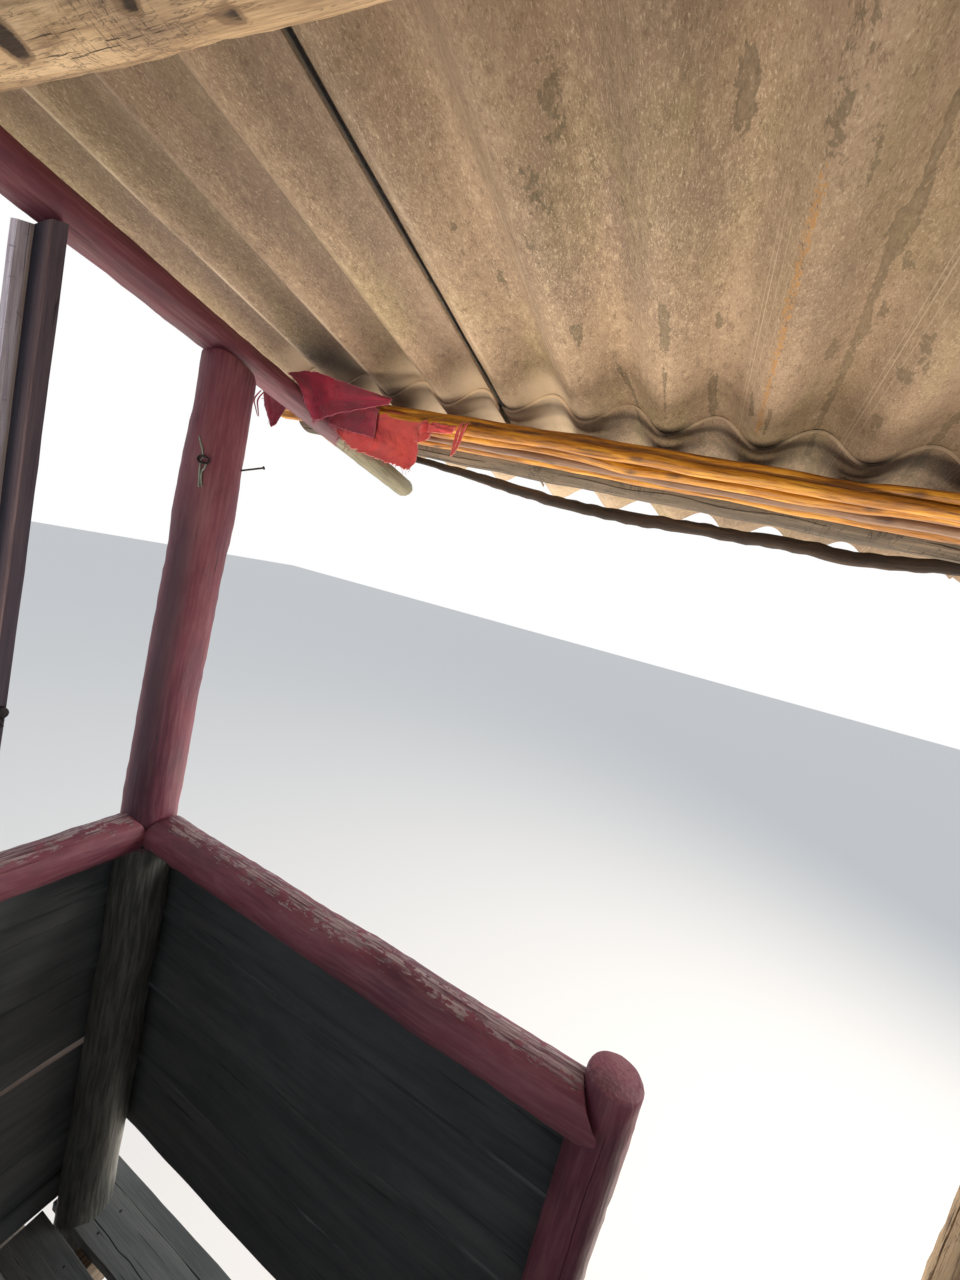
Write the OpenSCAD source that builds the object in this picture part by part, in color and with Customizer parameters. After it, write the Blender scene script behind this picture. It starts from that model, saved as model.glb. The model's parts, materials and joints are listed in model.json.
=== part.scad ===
// Lifeguard tower: a raised lookout on four painted log posts, with boarded
// sides, log rails, an access ladder and a corrugated roof on log rafters.
// X runs left to right, Y runs to the front and Z is up, in millimetres.
// The origin is on the ground under the middle of the roof.

/* [Lookout] */
// Distance between the post centres, left to right
bay_w = 1870; // [1600:10:2300]
// Distance between the post centres, front to rear
bay_d = 1900; // [1700:10:2200]
// Height of the floor's top over the ground
floor_h = 3000; // [2400:50:3600]
// Height of the roof sheets over the floor at the roof's middle
headroom = 2241; // [2100:10:2500]
// Height of the rails' centres over the floor
rail_h = 1000; // [900:10:1100]

/* [Roof] */
// Fall of the roof to the front, in degrees
roof_slope = 8.8; // [4:0.1:14]
// Fall of the roof to the right, in degrees
cross_fall = 2.7; // [0:0.1:4]
// Distance from the front posts to the front eave, level
front_overhang = 878; // [700:2:1000]
// Length of the rear row of sheets
upper_sheet_len = 3050; // [2900:10:3200]
// Length of the front row of sheets
lower_sheet_len = 504; // [440:2:800]
// Overlap of the rear row over the front row
end_lap = 200; // [140:10:300]
// Distance between two waves of a sheet
wave_pitch = 177; // [150:1:200]
// Depth of the waves, without the sheet's thickness
wave_depth = 51; // [30:1:60]
// Thickness of a sheet
sheet_t = 6; // [4:0.5:8]
// Whole waves that a sheet of the outer columns covers
outer_waves = 5; // [5:1:6]
// Whole waves that a sheet of the middle column covers
middle_waves = 6; // [5:1:7]
// Width of the side lap
side_lap = 44; // [30:1:60]
// Gap between two mitred corners where four sheets meet
mitre_gap = 6; // [3:1:12]
// Distance that the left front sheet stops short of the eave
short_sheet = 70; // [0:5:100]

/* [Roof logs] */
// Diameter of a rafter's rear end
rafter_d_rear = 78; // [70:1:100]
// Diameter of a rafter's front end
rafter_d_front = 64; // [50:1:80]
// Length of a rafter past the front posts
rafter_nose = 728; // [500:2:760]
// Distance from the rear eave to the rafters' rear ends
rafter_setback = 60; // [20:5:120]
// Diameter of a purlin's thick end
purlin_d_butt = 106; // [96:1:120]
// Diameter of a purlin's thin end
purlin_d_tip = 100; // [90:1:110]
// Depth of the saddles that seat the purlins on the rafters
purlin_notch = 4; // [2:0.5:10]
// Distance from the rear edge of the front sheets to the front purlin
purlin_in_lap = 80; // [60:1:120]
// Distance from the rear eave to the rear purlin
rear_purlin_setback = 281; // [200:1:400]
// Distance from the front purlin to the next one
front_purlin_gap = 882; // [800:1:1100]
// Distance from the rear purlin to the next one
rear_purlin_gap = 840; // [700:1:1000]
// Length of a purlin past the rafters
purlin_over = 220; // [150:5:500]
// Diameter of the eave pole
eave_pole_d = 34; // [20:1:40]
// Distance from the front eave to the eave pole
eave_pole_setback = 170; // [140:1:175]
// Length of the eave pole
eave_pole_len = 2120; // [1900:10:2400]
// Length of the eave pole past the left rafter
eave_pole_out = 85; // [50:5:150]
// Sag of the eave pole under the sheets
eave_pole_sag = 45; // [10:1:50]
// Length of the eave pole's sagging stretch
eave_pole_bow = 1600; // [1000:10:1700]
// Distance from the left rafter to the middle of that stretch
eave_pole_bow_in = 760; // [600:5:900]

/* [Posts and rails] */
// Diameter of a post at the ground
post_d_foot = 128; // [110:1:150]
// Diameter of a post at its top
post_d_top = 104; // [90:1:115]
// Depth of the saddle in a post's top
post_saddle = 5; // [4:0.5:20]
// Slope of a corner post's sawn top, in degrees
post_slope = 14; // [8:0.5:16]
// Diameter of a rail
rail_d = 84; // [60:1:90]
// Bevel round a log's sawn end
log_bevel = 7; // [2:0.5:12]
// Diameter of the newel post beside the entry
newel_d = 82; // [70:1:100]
// Distance from the left posts to the newel post
newel_x = 1035; // [900:5:1050]
// Height of the newel post over the rail's centre
newel_over = 60; // [40:5:120]
// Width of a rebated prop, along the rail
prop_w = 37; // [30:1:60]
// Thickness of a rebated prop, across the rail
prop_t = 70; // [64:1:90]
// Width of a prop's rebate
rebate_w = 18; // [10:1:22]
// Depth of a prop's rebate
rebate_d = 50; // [30:1:56]
// Depth of a prop's seats on the rail and under the rafter
prop_seat = 4; // [2:0.5:10]
// Distance from the front posts back to the props
prop_back = 320; // [250:2:400]

/* [Floor] */
// Thickness of a floor board
floor_t = 25; // [20:1:35]
// Width of a floor board
floor_board_w = 100; // [80:5:140]
// Smallest gap between two floor boards
floor_gap = 16; // [8:1:25]
// Height of a joist
joist_h = 100; // [80:5:140]
// Thickness of a joist
joist_t = 50; // [40:5:70]
// Number of joists
joist_count = 4; // [3:1:6]
// Diameter of a bearer
bearer_d = 112; // [100:1:130]
// Depth of the joists' seats on the bearers
joist_seat = 8; // [4:1:15]
// Gap between the floor boards and the posts
post_gap = 2; // [1:0.5:6]
// Height of the plank on the floor's front edge
edge_h = 130; // [110:5:160]
// Thickness of the plank on the floor's front edge
edge_t = 40; // [30:2:50]

/* [Wall boards] */
// Thickness of a wall board
board_t = 22; // [16:1:30]
// Depth of the flats that seat the boards on the posts
board_seat = 4; // [2:0.5:8]
// Gap between two tight wall boards
board_gap = 5; // [3:0.5:8]
// Widest gap between wall boards
light_gap = 10; // [6:1:16]
// Height of a wide wall board
wide_board = 216; // [180:2:240]
// Height of a narrow wall board
narrow_board = 190; // [150:2:210]
// Height of the top board of a wall
top_board = 150; // [100:2:170]
// Height of the front boards' lower edge over the floor
front_board_clear = 180; // [120:5:220]

/* [Bracing] */
// Diameter of a girt
girt_d = 80; // [60:1:90]
// Height of the side girts
girt_h = 1300; // [1000:10:1500]
// Length of a girt past the posts
girt_over = 110; // [90:5:160]
// Diameter of a brace
brace_d = 70; // [60:1:80]
// Height of a brace's low end
brace_low = 320; // [250:10:500]
// Distance from the floor down to a brace's high end
brace_drop = 480; // [400:10:700]
// Depth of the seats of girts and braces on the posts
brace_seat = 14; // [8:1:20]

/* [Ladder] */
// Diameter of a ladder pole
ladder_d = 68; // [50:1:80]
// Distance between the ladder poles
ladder_w = 380; // [330:5:400]
// Distance from the right posts out to the ladder's right pole
ladder_out = 10; // [-40:5:40]
// Height of the ladder poles over the floor
ladder_over = 1100; // [1000:10:1300]
// Diameter of a rung
rung_d = 46; // [35:1:55]
// Distance between two rungs
rung_step = 300; // [250:5:340]
// Depth of a rung's seat in the poles
rung_seat = 12; // [6:1:18]
// Length of a rung past the poles
rung_over = 60; // [40:5:90]
// Depth of the flats that seat the ladder poles on the floor's edge
ladder_seat = 2; // [1:0.5:8]

/* [Signal flags] */
// Diameter of a flag pole
flag_pole_d = 25; // [18:1:28]
// Gap between two flag poles that lie side by side
flag_pole_gap = 3; // [1:0.5:6]
// Thickness of a folded flag
flag_t = 16; // [8:1:24]
// Width of the large flag's folded bundle
large_flag_w = 260; // [200:5:300]
// Drop of the large flag under the poles
large_flag_drop = 122; // [90:2:150]
// Width of the small flag's folded bundle
small_flag_w = 116; // [90:2:140]
// Drop of the small flag under the poles
small_flag_drop = 92; // [70:2:120]

/* [Hidden] */
$fn = 48;

// Clearance where one log is seated in another
fit = 0.4;
// Reach of a cutting body past the body that it cuts
past = 40;

// The roof's length along its slope
roof_len = upper_sheet_len + lower_sheet_len - end_lap;

// Places of the posts
front_y = roof_len * cos(roof_slope) / 2 - front_overhang;
rear_y = front_y - bay_d;
left_x = -bay_w / 2;
right_x = bay_w / 2;

// The roof's plane: the undersides of the front sheets' valleys
roof_z = floor_h + headroom;
roof_normal = [
    cos(roof_slope) * sin(cross_fall),
    sin(roof_slope),
    cos(roof_slope) * cos(cross_fall)
];
// A point of the roof's own plane, turned by the two falls
function turned(p) =
    let (y = p.y * cos(roof_slope) + p.z * sin(roof_slope),
         z = -p.y * sin(roof_slope) + p.z * cos(roof_slope))
        [p.x * cos(cross_fall) + z * sin(cross_fall), y, -p.x * sin(cross_fall) + z * cos(cross_fall)];
// Height over the ground of a layer of the roof, over the place x, y
function roof_height(x, y, layer = 0) =
    roof_z + (layer - roof_normal.x * (x + roof_mid.x) - roof_normal.y * (y + roof_mid.y))
        / roof_normal.z;

// The rafters' tops, under the purlins' saddles
rafter_top = -(purlin_d_tip - purlin_notch);
rafter_from = -roof_len / 2 + rafter_setback;
rafter_to = front_y / cos(roof_slope) + rafter_nose;
rafter_len = rafter_to - rafter_from;
// Diameter of a rafter at a distance along the slope
function rafter_d(along) =
    rafter_d_rear + (rafter_d_front - rafter_d_rear) * (along - rafter_from) / rafter_len;

// The front sheets' rear edge, and the places of the purlins along the slope
lap_y = roof_len / 2 - lower_sheet_len;
front_purlin_y = lap_y + purlin_in_lap;
rear_purlin_y = -roof_len / 2 + rear_purlin_setback;
second_purlin_y = front_purlin_y - front_purlin_gap;
third_purlin_y = rear_purlin_y + rear_purlin_gap;

// Sheets, in three columns
covers = [for (waves = [outer_waves, middle_waves, outer_waves]) waves * wave_pitch];
roof_w = sum_to(covers, len(covers)) + side_lap;
wave_steps = 16;
wave_phase = -35 - wave_pitch / 2;
// Rise of a sheet over the one that it laps
lap_lift = 1.45 * sheet_t;
// The rear row leans on the rear purlin and on the front row's rear edge
row_tilt = atan(lap_lift / (lap_y - rear_purlin_y));

// A sheet's width and its left edge
function sheet_w(column) = covers[column] + side_lap;
function sheet_from(column) = sum_to(covers, column) - roof_w / 2;
// Where a column of sheets ends at the front eave
function sheet_to(column) = roof_len / 2 - (column == 0 ? short_sheet : 0);
// Lift of a sheet at a place across the roof: its left edge lies on its left neighbour
function lift(column, x) =
    column == 0 ? 0 : lap_lift * (1 - (x - sheet_from(column)) / sheet_w(column));
// A point of the rear row, leant back by the tilt
function leant(p) =
    let (y = p.y - rear_purlin_y)
        [p.x, rear_purlin_y + y * cos(row_tilt) - p.z * sin(row_tilt),
         y * sin(row_tilt) + p.z * cos(row_tilt)];

// Corners of the sheets at the two eaves, and the middle of their outline
eave_corners = [
    for (column = [0:2], p = sheet_points(column)) each [
        turned([p.x, sheet_to(column), p.y]),
        turned(leant([p.x, -roof_len / 2, p.y]))
    ]
];
roof_mid = [for (k = [0:1]) let (v = [for (p = eave_corners) p[k]]) (min(v) + max(v)) / 2];

// Diameter of a post at a height over the ground
post_h = floor_h + headroom;
function post_d(h) = post_d_foot + (post_d_top - post_d_foot) * h / post_h;

// Layers of the floor, from the top down
board_z = floor_h - floor_t;
joist_z = board_z - joist_h;
bearer_z = joist_z + joist_seat - bearer_d / 2;
bearer_in = (post_d(floor_h) + bearer_d) / 2 - brace_seat;
// Outer faces that carry the wall boards and the edge plank
wall_off = post_d(floor_h) / 2 - board_seat;
newel_y = front_y + wall_off - newel_d / 2 + board_seat / 2;
rail_z = floor_h + rail_h;
wall_boards = [wide_board, wide_board, narrow_board, narrow_board, top_board];
wall_gaps = [board_gap, light_gap, board_gap, board_gap, 0];
front_boards = [narrow_board, narrow_board, narrow_board, narrow_board];
front_gaps = [board_gap, board_gap, board_gap, 0];

// Ladder
ladder_right_x = right_x + ladder_out;
ladder_left_x = ladder_right_x - ladder_w;
ladder_y = front_y + wall_off + edge_t + ladder_d / 2 - ladder_seat;
rung_y = ladder_y + (ladder_d + rung_d) / 2 - rung_seat;

// Flag poles: four lie beside each other on the rafters, behind the front purlin, and a
// fifth lies on the last two. Each reaches so far past the left and the right rafter
flag_pole_pitch = flag_pole_d + flag_pole_gap;
flag_pole_z = rafter_top + flag_pole_d / 2 + fit;
flag_pole_off = sqrt(
    pow((purlin_d_butt + flag_pole_d) / 2 + flag_pole_gap, 2) - pow(purlin_d_butt / 2 + flag_pole_z, 2)
);
flag_pole_over = [[255, 180], [170, 245], [205, 90], [60, 150], [-110, 225]];
top_pole_lift = sqrt(pow(flag_pole_d + fit, 2) - pow(flag_pole_pitch / 2, 2));
flag_y = front_purlin_y - flag_pole_off - 3 * flag_pole_pitch - flag_pole_d / 2 - fit;
large_flag_in = 50;
small_flag_out = 125;

// Sum of a list's first items
function sum_to(list, n) = n <= 0 ? 0 : list[n - 1] + sum_to(list, n - 1);

red_paint = [0.48, 0.16, 0.19];
tan_wood = [0.69, 0.55, 0.38];
grey_wood = [0.42, 0.41, 0.37];
board_wood = [0.25, 0.28, 0.26];
varnish = [0.78, 0.48, 0.14];
cement = [0.60, 0.55, 0.46];
cloth_red = [0.78, 0.25, 0.22];

// Puts its children in the roof's own plane: X across, Y down the slope
module in_roof()
    translate([-roof_mid.x, -roof_mid.y, roof_z])
        rotate([0, cross_fall, 0]) rotate([-roof_slope, 0, 0]) children();

// A tapered log along Z with a bevel round both ends
module log_z(len, d_from, d_to)
    rotate_extrude() polygon([
        [0, 0], [d_from / 2 - log_bevel, 0], [d_from / 2, log_bevel],
        [d_to / 2, len - log_bevel], [d_to / 2 - log_bevel, len], [0, len]
    ]);

// A tapered log along X, from d_from at x = 0 to d_to at x = len
module log_x(len, d_from, d_to) rotate([0, 90, 0]) log_z(len, d_from, d_to);

// A tapered log along Y
module log_y(len, d_from, d_to) rotate([-90, 0, 0]) log_z(len, d_from, d_to);

// A straight log between two points
module log_between(from, to, d_from, d_to) {
    v = to - from;
    flat = norm([v.x, v.y]);
    translate(from) rotate([0, atan2(flat, v.z), atan2(v.y, v.x)])
        log_z(norm(v), d_from, d_to);
}

// A rafter's log, grown all round by a clearance
module rafter_log(side, grow = 0)
    in_roof()
        translate([(side * bay_w / 2 + roof_mid.x) / cos(cross_fall) - rafter_top * sin(cross_fall),
                   rafter_from, rafter_top - rafter_d_rear / 2])
            rotate([atan((rafter_d_rear - rafter_d_front) / 2 / rafter_len), 0, 0])
                log_y(rafter_len, rafter_d_rear + 2 * grow, rafter_d_front + 2 * grow);

module rafter(side) color(red_paint) rafter_log(side);

// A purlin's log, its top line against the sheets
module purlin_log(along, turn = 1, over = purlin_over) {
    len = bay_w + 2 * over;
    tilt = atan((purlin_d_butt - purlin_d_tip) / 2 / len);
    in_roof() translate([-turn * len / 2, along, -purlin_d_butt / 2])
        rotate([0, turn > 0 ? 0 : 180, 0]) rotate([0, -turn * tilt, 0])
            log_x(len, purlin_d_butt, purlin_d_tip);
}

// A purlin with saddles over both rafters
module purlin(along, turn, shade)
    color(shade) difference() {
        purlin_log(along, turn);
        rafter_log(-1, fit);
        rafter_log(1, fit);
    }

// A thin bowed pole, a ring of corners at each step along it
module eave_pole() {
    sides = 10;
    rings = 20;
    r = eave_pole_d / 2;
    from = left_x - eave_pole_out;
    bow_x = left_x + eave_pole_bow_in;
    points = [
        for (i = [0:rings])
            let (x = from + eave_pole_len * i / rings,
                 away = min(1, abs(x - bow_x) / (eave_pole_bow / 2)),
                 sag = eave_pole_sag * (1 + cos(180 * away)) / 2)
                for (k = [0:sides - 1])
                    let (a = 360 * (k + 0.5) / sides)
                        [x, r * cos(a), r * sin(a) - r - fit - sag]
    ];
    side_faces = [
        for (i = [0:rings - 1], k = [0:sides - 1])
            let (n = (k + 1) % sides)
                [i * sides + k, i * sides + n, (i + 1) * sides + n, (i + 1) * sides + k]
    ];
    start_face = [for (k = [sides - 1:-1:0]) k];
    end_face = [for (k = [0:sides - 1]) rings * sides + k];
    color(grey_wood) in_roof() translate([0, roof_len / 2 - eave_pole_setback, 0])
        polyhedron(points, concat(side_faces, [start_face, end_face]));
}

// Height of a sheet's underside at a place across the roof
function wave(x) = wave_depth / 2 * (1 - cos(360 * (x - wave_phase) / wave_pitch));

// Slope of the underside there, as a rise over a run
function wave_rise(x) = PI * wave_depth / wave_pitch * sin(360 * (x - wave_phase) / wave_pitch);

// The profile of a column's sheets: along the underside, then back along the top
function sheet_points(column) =
    let (count = ceil(sheet_w(column) / wave_pitch * wave_steps),
         xs = [for (i = [0:count]) sheet_from(column) + sheet_w(column) * i / count],
         under = [for (x = xs) wave(x) + lift(column, x)])
        concat([for (i = [0:count]) [xs[i], under[i]]],
               [for (i = [count:-1:0])
                   [xs[i], under[i] + sheet_t * sqrt(1 + pow(wave_rise(xs[i]), 2))]]);

// A sheet that ends at a place along the slope
module sheet_body(column, to, len)
    translate([0, to, 0]) rotate([90, 0, 0]) linear_extrude(len) polygon(sheet_points(column));

// The corner that is sawn off where four sheets meet at a column's left edge:
// the front sheet's rear corner (end = 1) or the rear sheet's front corner (end = -1)
module mitre(column, end) {
    mid = [sheet_from(column) + side_lap / 2 + end * mitre_gap / 2, lap_y + end_lap / 2];
    run = [side_lap, -end_lap] * 0.6;
    translate([0, 0, -past]) linear_extrude(wave_depth + 2 * past)
        polygon([mid - run, mid + run, mid + end * [-run.x, run.y]]);
}

// A sheet of the rear row, which lies on the front row's rear edge
module upper_sheet(column)
    color(cement) in_roof()
        translate([0, rear_purlin_y, 0]) rotate([row_tilt, 0, 0]) translate([0, -rear_purlin_y, 0])
            difference() {
                sheet_body(column, upper_sheet_len - roof_len / 2, upper_sheet_len);
                if (column < 2) mitre(column + 1, -1);
            }

// A sheet of the front row
module lower_sheet(column)
    color(cement) in_roof() difference() {
        sheet_body(column, sheet_to(column), sheet_to(column) - lap_y);
        if (column > 0) mitre(column, 1);
    }

// A round post's body up to a height
module post_log(x, y, h, grow = 0)
    translate([x, y, 0]) cylinder(h = h, d1 = post_d_foot + 2 * grow, d2 = post_d(h) + 2 * grow);

// Height of a post's top, with a saddle that the rafter lies in
function post_top(x, y) =
    roof_height(x, y, rafter_top - rafter_d(y / cos(roof_slope))) + post_saddle;

// A corner post: side and end are -1 or 1 for left or right, rear or front
module corner_post(side, end) {
    x = side * bay_w / 2;
    y = end > 0 ? front_y : rear_y;
    color(red_paint) difference() {
        post_log(x, y, post_top(x, y) + past);
        translate([x, y, post_top(x, y)]) rotate([-post_slope, 0, 0])
            translate([-post_d_foot, -post_d_foot, 0])
                cube([2 * post_d_foot, 2 * post_d_foot, 2 * past]);
        rafter_log(side, fit);
        bearer_log(end, fit);
        side_flat(side, x, y);
        end_flat(end, x, y);
    }
}

// The flat on a post that seats the side boards
module side_flat(side, x, y)
    translate([x + side * (wall_off + past / 2), y, floor_h + rail_h / 2])
        cube([past, 4 * post_d_foot, rail_h + past], center = true);

// The flat on a post that seats the end boards and the edge plank
module end_flat(end, x, y)
    translate([x, y + end * (wall_off + past / 2), floor_h + rail_h / 2 - edge_h / 2])
        cube([4 * post_d_foot, past, rail_h + edge_h + past], center = true);

// A floor bearer's log, let into the posts' inner faces
module bearer_log(end, grow = 0) {
    len = bay_w + 4 * post_d_top;
    y = (end > 0 ? front_y : rear_y) - end * bearer_in;
    translate([-len / 2, y, bearer_z]) log_x(len, bearer_d + 2 * grow, bearer_d + 2 * grow);
}

module bearer(end) color(grey_wood) bearer_log(end);

// Joists on the bearers, from the rear edge to the front plank
module floor_joists() {
    from = rear_y - wall_off;
    len = front_y + wall_off - from;
    span = bay_w - post_d_foot - joist_t - 2 * board_gap;
    color(grey_wood) difference() {
        for (i = [0:joist_count - 1])
            translate([-span / 2 + span * i / (joist_count - 1) - joist_t / 2, from, joist_z])
                cube([joist_t, len, joist_h]);
        bearer_log(-1, fit);
        bearer_log(1, fit);
    }
}

// Floor boards from side to side, cut round the posts
module floor_boards() {
    from = rear_y - wall_off;
    len = front_y + wall_off - from;
    width = bay_w + 2 * wall_off;
    count = floor((len + floor_gap) / (floor_board_w + floor_gap));
    pitch = (len - floor_board_w) / (count - 1);
    color(board_wood) difference() {
        for (i = [0:count - 1])
            translate([-width / 2, from + i * pitch, board_z])
                cube([width, floor_board_w, floor_t]);
        for (x = [left_x, right_x], y = [rear_y, front_y])
            post_log(x, y, post_h, post_gap);
        newel_log(post_gap);
    }
}

// The plank on the floor's front edge, on the posts' front faces
module floor_edge()
    color(board_wood)
        translate([left_x - wall_off, front_y + wall_off, floor_h - edge_h])
            cube([bay_w + 2 * wall_off, edge_t, edge_h]);

// A stack of boards: heights and the gaps over them
module board_stack(size_x, size_y, boards, gaps)
    for (i = [0:len(boards) - 1])
        translate([0, 0, sum_to(boards, i) + sum_to(gaps, i)])
            cube([size_x, size_y, boards[i]]);

// A side wall, outside the posts
module side_wall(side) {
    x = side * (bay_w / 2 + wall_off);
    color(board_wood)
        translate([side > 0 ? x : x - board_t, rear_y - wall_off - board_t, floor_h])
            board_stack(board_t, bay_d + 2 * wall_off + board_t, wall_boards, wall_gaps);
}

module rear_wall_boards()
    color(board_wood)
        translate([left_x - wall_off, rear_y - wall_off - board_t, floor_h])
            board_stack(bay_w + 2 * wall_off, board_t, wall_boards, wall_gaps);

// The front wall, from the left corner to the newel post
module front_wall_boards()
    color(board_wood)
        translate([left_x - wall_off - board_t, front_y + wall_off, floor_h + front_board_clear])
            board_stack(newel_x + newel_d / 2 + wall_off + board_t, board_t,
                        front_boards, front_gaps);

// A side rail between the posts
module side_rail(side)
    color(red_paint) difference() {
        translate([side * bay_w / 2, rear_y, rail_z]) log_y(bay_d, rail_d, rail_d);
        for (y = [rear_y, front_y])
            post_log(side * bay_w / 2, y, post_h, fit);
    }

module rear_rail()
    color(red_paint) difference() {
        translate([left_x, rear_y, rail_z]) log_x(bay_w, rail_d, rail_d);
        for (x = [left_x, right_x])
            post_log(x, rear_y, post_h, fit);
    }

// The front rail, from the left post to the newel post
module front_rail()
    color(red_paint) difference() {
        translate([left_x, front_y, rail_z]) log_x(newel_x, rail_d, rail_d);
        post_log(left_x, front_y, post_h, fit);
        newel_log(fit);
    }

// The newel post's log, from the joists' level up
module newel_log(grow = 0)
    translate([left_x + newel_x, newel_y, joist_z])
        cylinder(h = rail_z + newel_over - joist_z, d = newel_d + 2 * grow);

module newel_post()
    color(red_paint) difference() {
        newel_log();
        end_flat(1, left_x + newel_x, front_y);
    }

// A prop between a side rail and a rafter, with a rebate in its inner rear corner
module prop(side) {
    x = side * bay_w / 2;
    y = front_y - prop_back;
    foot = rail_z + rail_d / 2 - prop_seat;
    top = roof_height(x, y, rafter_top - rafter_d(y / cos(roof_slope))) + prop_seat;
    color(grey_wood) difference() {
        translate([x, y, foot]) linear_extrude(top - foot) difference() {
            square([prop_t, prop_w], center = true);
            translate([-side * prop_t / 2, -prop_w / 2])
                square([2 * rebate_d, 2 * rebate_w], center = true);
        }
        rafter_log(side, fit);
        translate([x, rear_y, rail_z]) log_y(bay_d, rail_d + 2 * fit, rail_d + 2 * fit);
    }
}

// A level girt outside the side posts
module side_girt(side) {
    x = side * (bay_w / 2 + (post_d(girt_h) + girt_d) / 2 - brace_seat);
    color(grey_wood) difference() {
        translate([x, rear_y - girt_over, girt_h])
            log_y(bay_d + 2 * girt_over, girt_d, girt_d);
        for (y = [rear_y, front_y])
            post_log(side * bay_w / 2, y, post_h, fit);
    }
}

// The rear girt, over the side girts' ends
module rear_girt() {
    y = rear_y - (post_d(girt_h) + girt_d) / 2 + brace_seat;
    color(grey_wood) difference() {
        translate([left_x - girt_over, y, girt_h + girt_d + fit])
            log_x(bay_w + 2 * girt_over, girt_d, girt_d);
        for (x = [left_x, right_x])
            post_log(x, rear_y, post_h, fit);
    }
}

// A brace inside the side posts, rising to the front or to the rear
module side_brace(side, rises) {
    x = side * (bay_w / 2 - (post_d(girt_h) + brace_d) / 2 + brace_seat);
    low_y = rises > 0 ? rear_y : front_y;
    high_y = rises > 0 ? front_y : rear_y;
    color(grey_wood) difference() {
        log_between([x, low_y, brace_low], [x, high_y, floor_h - brace_drop], brace_d, brace_d);
        for (y = [rear_y, front_y])
            post_log(side * bay_w / 2, y, post_h, fit);
    }
}

module rear_brace() {
    y = rear_y + (post_d(girt_h) + brace_d) / 2 - brace_seat;
    color(grey_wood) difference() {
        log_between([left_x, y, brace_low], [right_x, y, floor_h - brace_drop], brace_d, brace_d);
        for (x = [left_x, right_x])
            post_log(x, rear_y, post_h, fit);
    }
}

// A ladder pole from the ground to over the floor
module ladder_pole(x)
    color(tan_wood) difference() {
        translate([x, ladder_y, 0]) log_z(floor_h + ladder_over, ladder_d, ladder_d);
        translate([x, front_y + wall_off + edge_t - past / 2, floor_h - edge_h / 2])
            cube([2 * ladder_d, past, edge_h + 2 * fit], center = true);
        rung_logs(fit);
    }

// The rungs' logs up to the floor
module rung_logs(grow = 0)
    for (z = [rung_step:rung_step:floor_h - rung_d])
        translate([ladder_left_x - rung_over, rung_y, z])
            log_x(ladder_w + 2 * rung_over, rung_d + 2 * grow, rung_d + 2 * grow);

module ladder_rungs() color(tan_wood) rung_logs();

// A flag pole: place 0 to 3 from the front purlin, or 4 for the one on top
module flag_pole(place) {
    from = left_x - flag_pole_over[place][0];
    to = right_x + flag_pole_over[place][1];
    row = place < 4 ? place : 2.5;
    lift = place < 4 ? 0 : top_pole_lift;
    translate([from, front_purlin_y - flag_pole_off - row * flag_pole_pitch, flag_pole_z + lift])
        log_x(to - from, flag_pole_d, flag_pole_d);
}

module flag_poles()
    color(varnish) in_roof() for (place = [0:4]) flag_pole(place);

// A folded flag that hangs from the poles, as an outline across the roof
module folded_flag(x, outline)
    color(cloth_red) in_roof()
        translate([x, flag_y, flag_pole_z]) rotate([90, 0, 0]) linear_extrude(flag_t) polygon(outline);

// The large flag hangs right of the left rafter
module large_flag()
    folded_flag(left_x + large_flag_in, [
        [0, 0], [large_flag_w, 0], [large_flag_w, -large_flag_drop],
        [large_flag_w / 3, -0.8 * large_flag_drop], [0, -0.45 * large_flag_drop]
    ]);

// The small flag hangs left of it
module small_flag()
    folded_flag(left_x - small_flag_out - small_flag_w, [
        [0, 0], [small_flag_w, 0], [0.7 * small_flag_w, -small_flag_drop]
    ]);

corner_post(-1, 1);  // front_left_post
corner_post(1, 1);  // front_right_post
corner_post(-1, -1);  // rear_left_post
corner_post(1, -1);  // rear_right_post
newel_post();
prop(-1);  // left_prop
prop(1);  // right_prop
rafter(-1);  // left_rafter
rafter(1);  // right_rafter
purlin(front_purlin_y, 1, grey_wood);  // front_purlin
purlin(second_purlin_y, -1, tan_wood);  // second_purlin
purlin(third_purlin_y, 1, tan_wood);  // third_purlin
purlin(rear_purlin_y, -1, grey_wood);  // rear_purlin
eave_pole();
upper_sheet(0);  // upper_sheet_left
upper_sheet(1);  // upper_sheet_middle
upper_sheet(2);  // upper_sheet_right
lower_sheet(0);  // lower_sheet_left
lower_sheet(1);  // lower_sheet_middle
lower_sheet(2);  // lower_sheet_right
side_rail(-1);  // left_rail
side_rail(1);  // right_rail
rear_rail();
front_rail();
side_wall(-1);  // left_wall_boards
side_wall(1);  // right_wall_boards
rear_wall_boards();
front_wall_boards();
bearer(1);  // front_bearer
bearer(-1);  // rear_bearer
floor_joists();
floor_boards();
floor_edge();
side_girt(-1);  // left_girt
side_girt(1);  // right_girt
rear_girt();
side_brace(-1, -1);  // left_brace
side_brace(1, 1);  // right_brace
rear_brace();
ladder_pole(ladder_left_x);  // ladder_left_pole
ladder_pole(ladder_right_x);  // ladder_right_pole
ladder_rungs();
flag_poles();
large_flag();
small_flag();
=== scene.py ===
"""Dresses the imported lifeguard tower: worn log frame, weathered boards, stained
fibre-cement roof, varnished flag poles and torn red flags. Metres, Z up."""

import json
import math

import bpy
import numpy as np
from mathutils import Matrix, Vector


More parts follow.
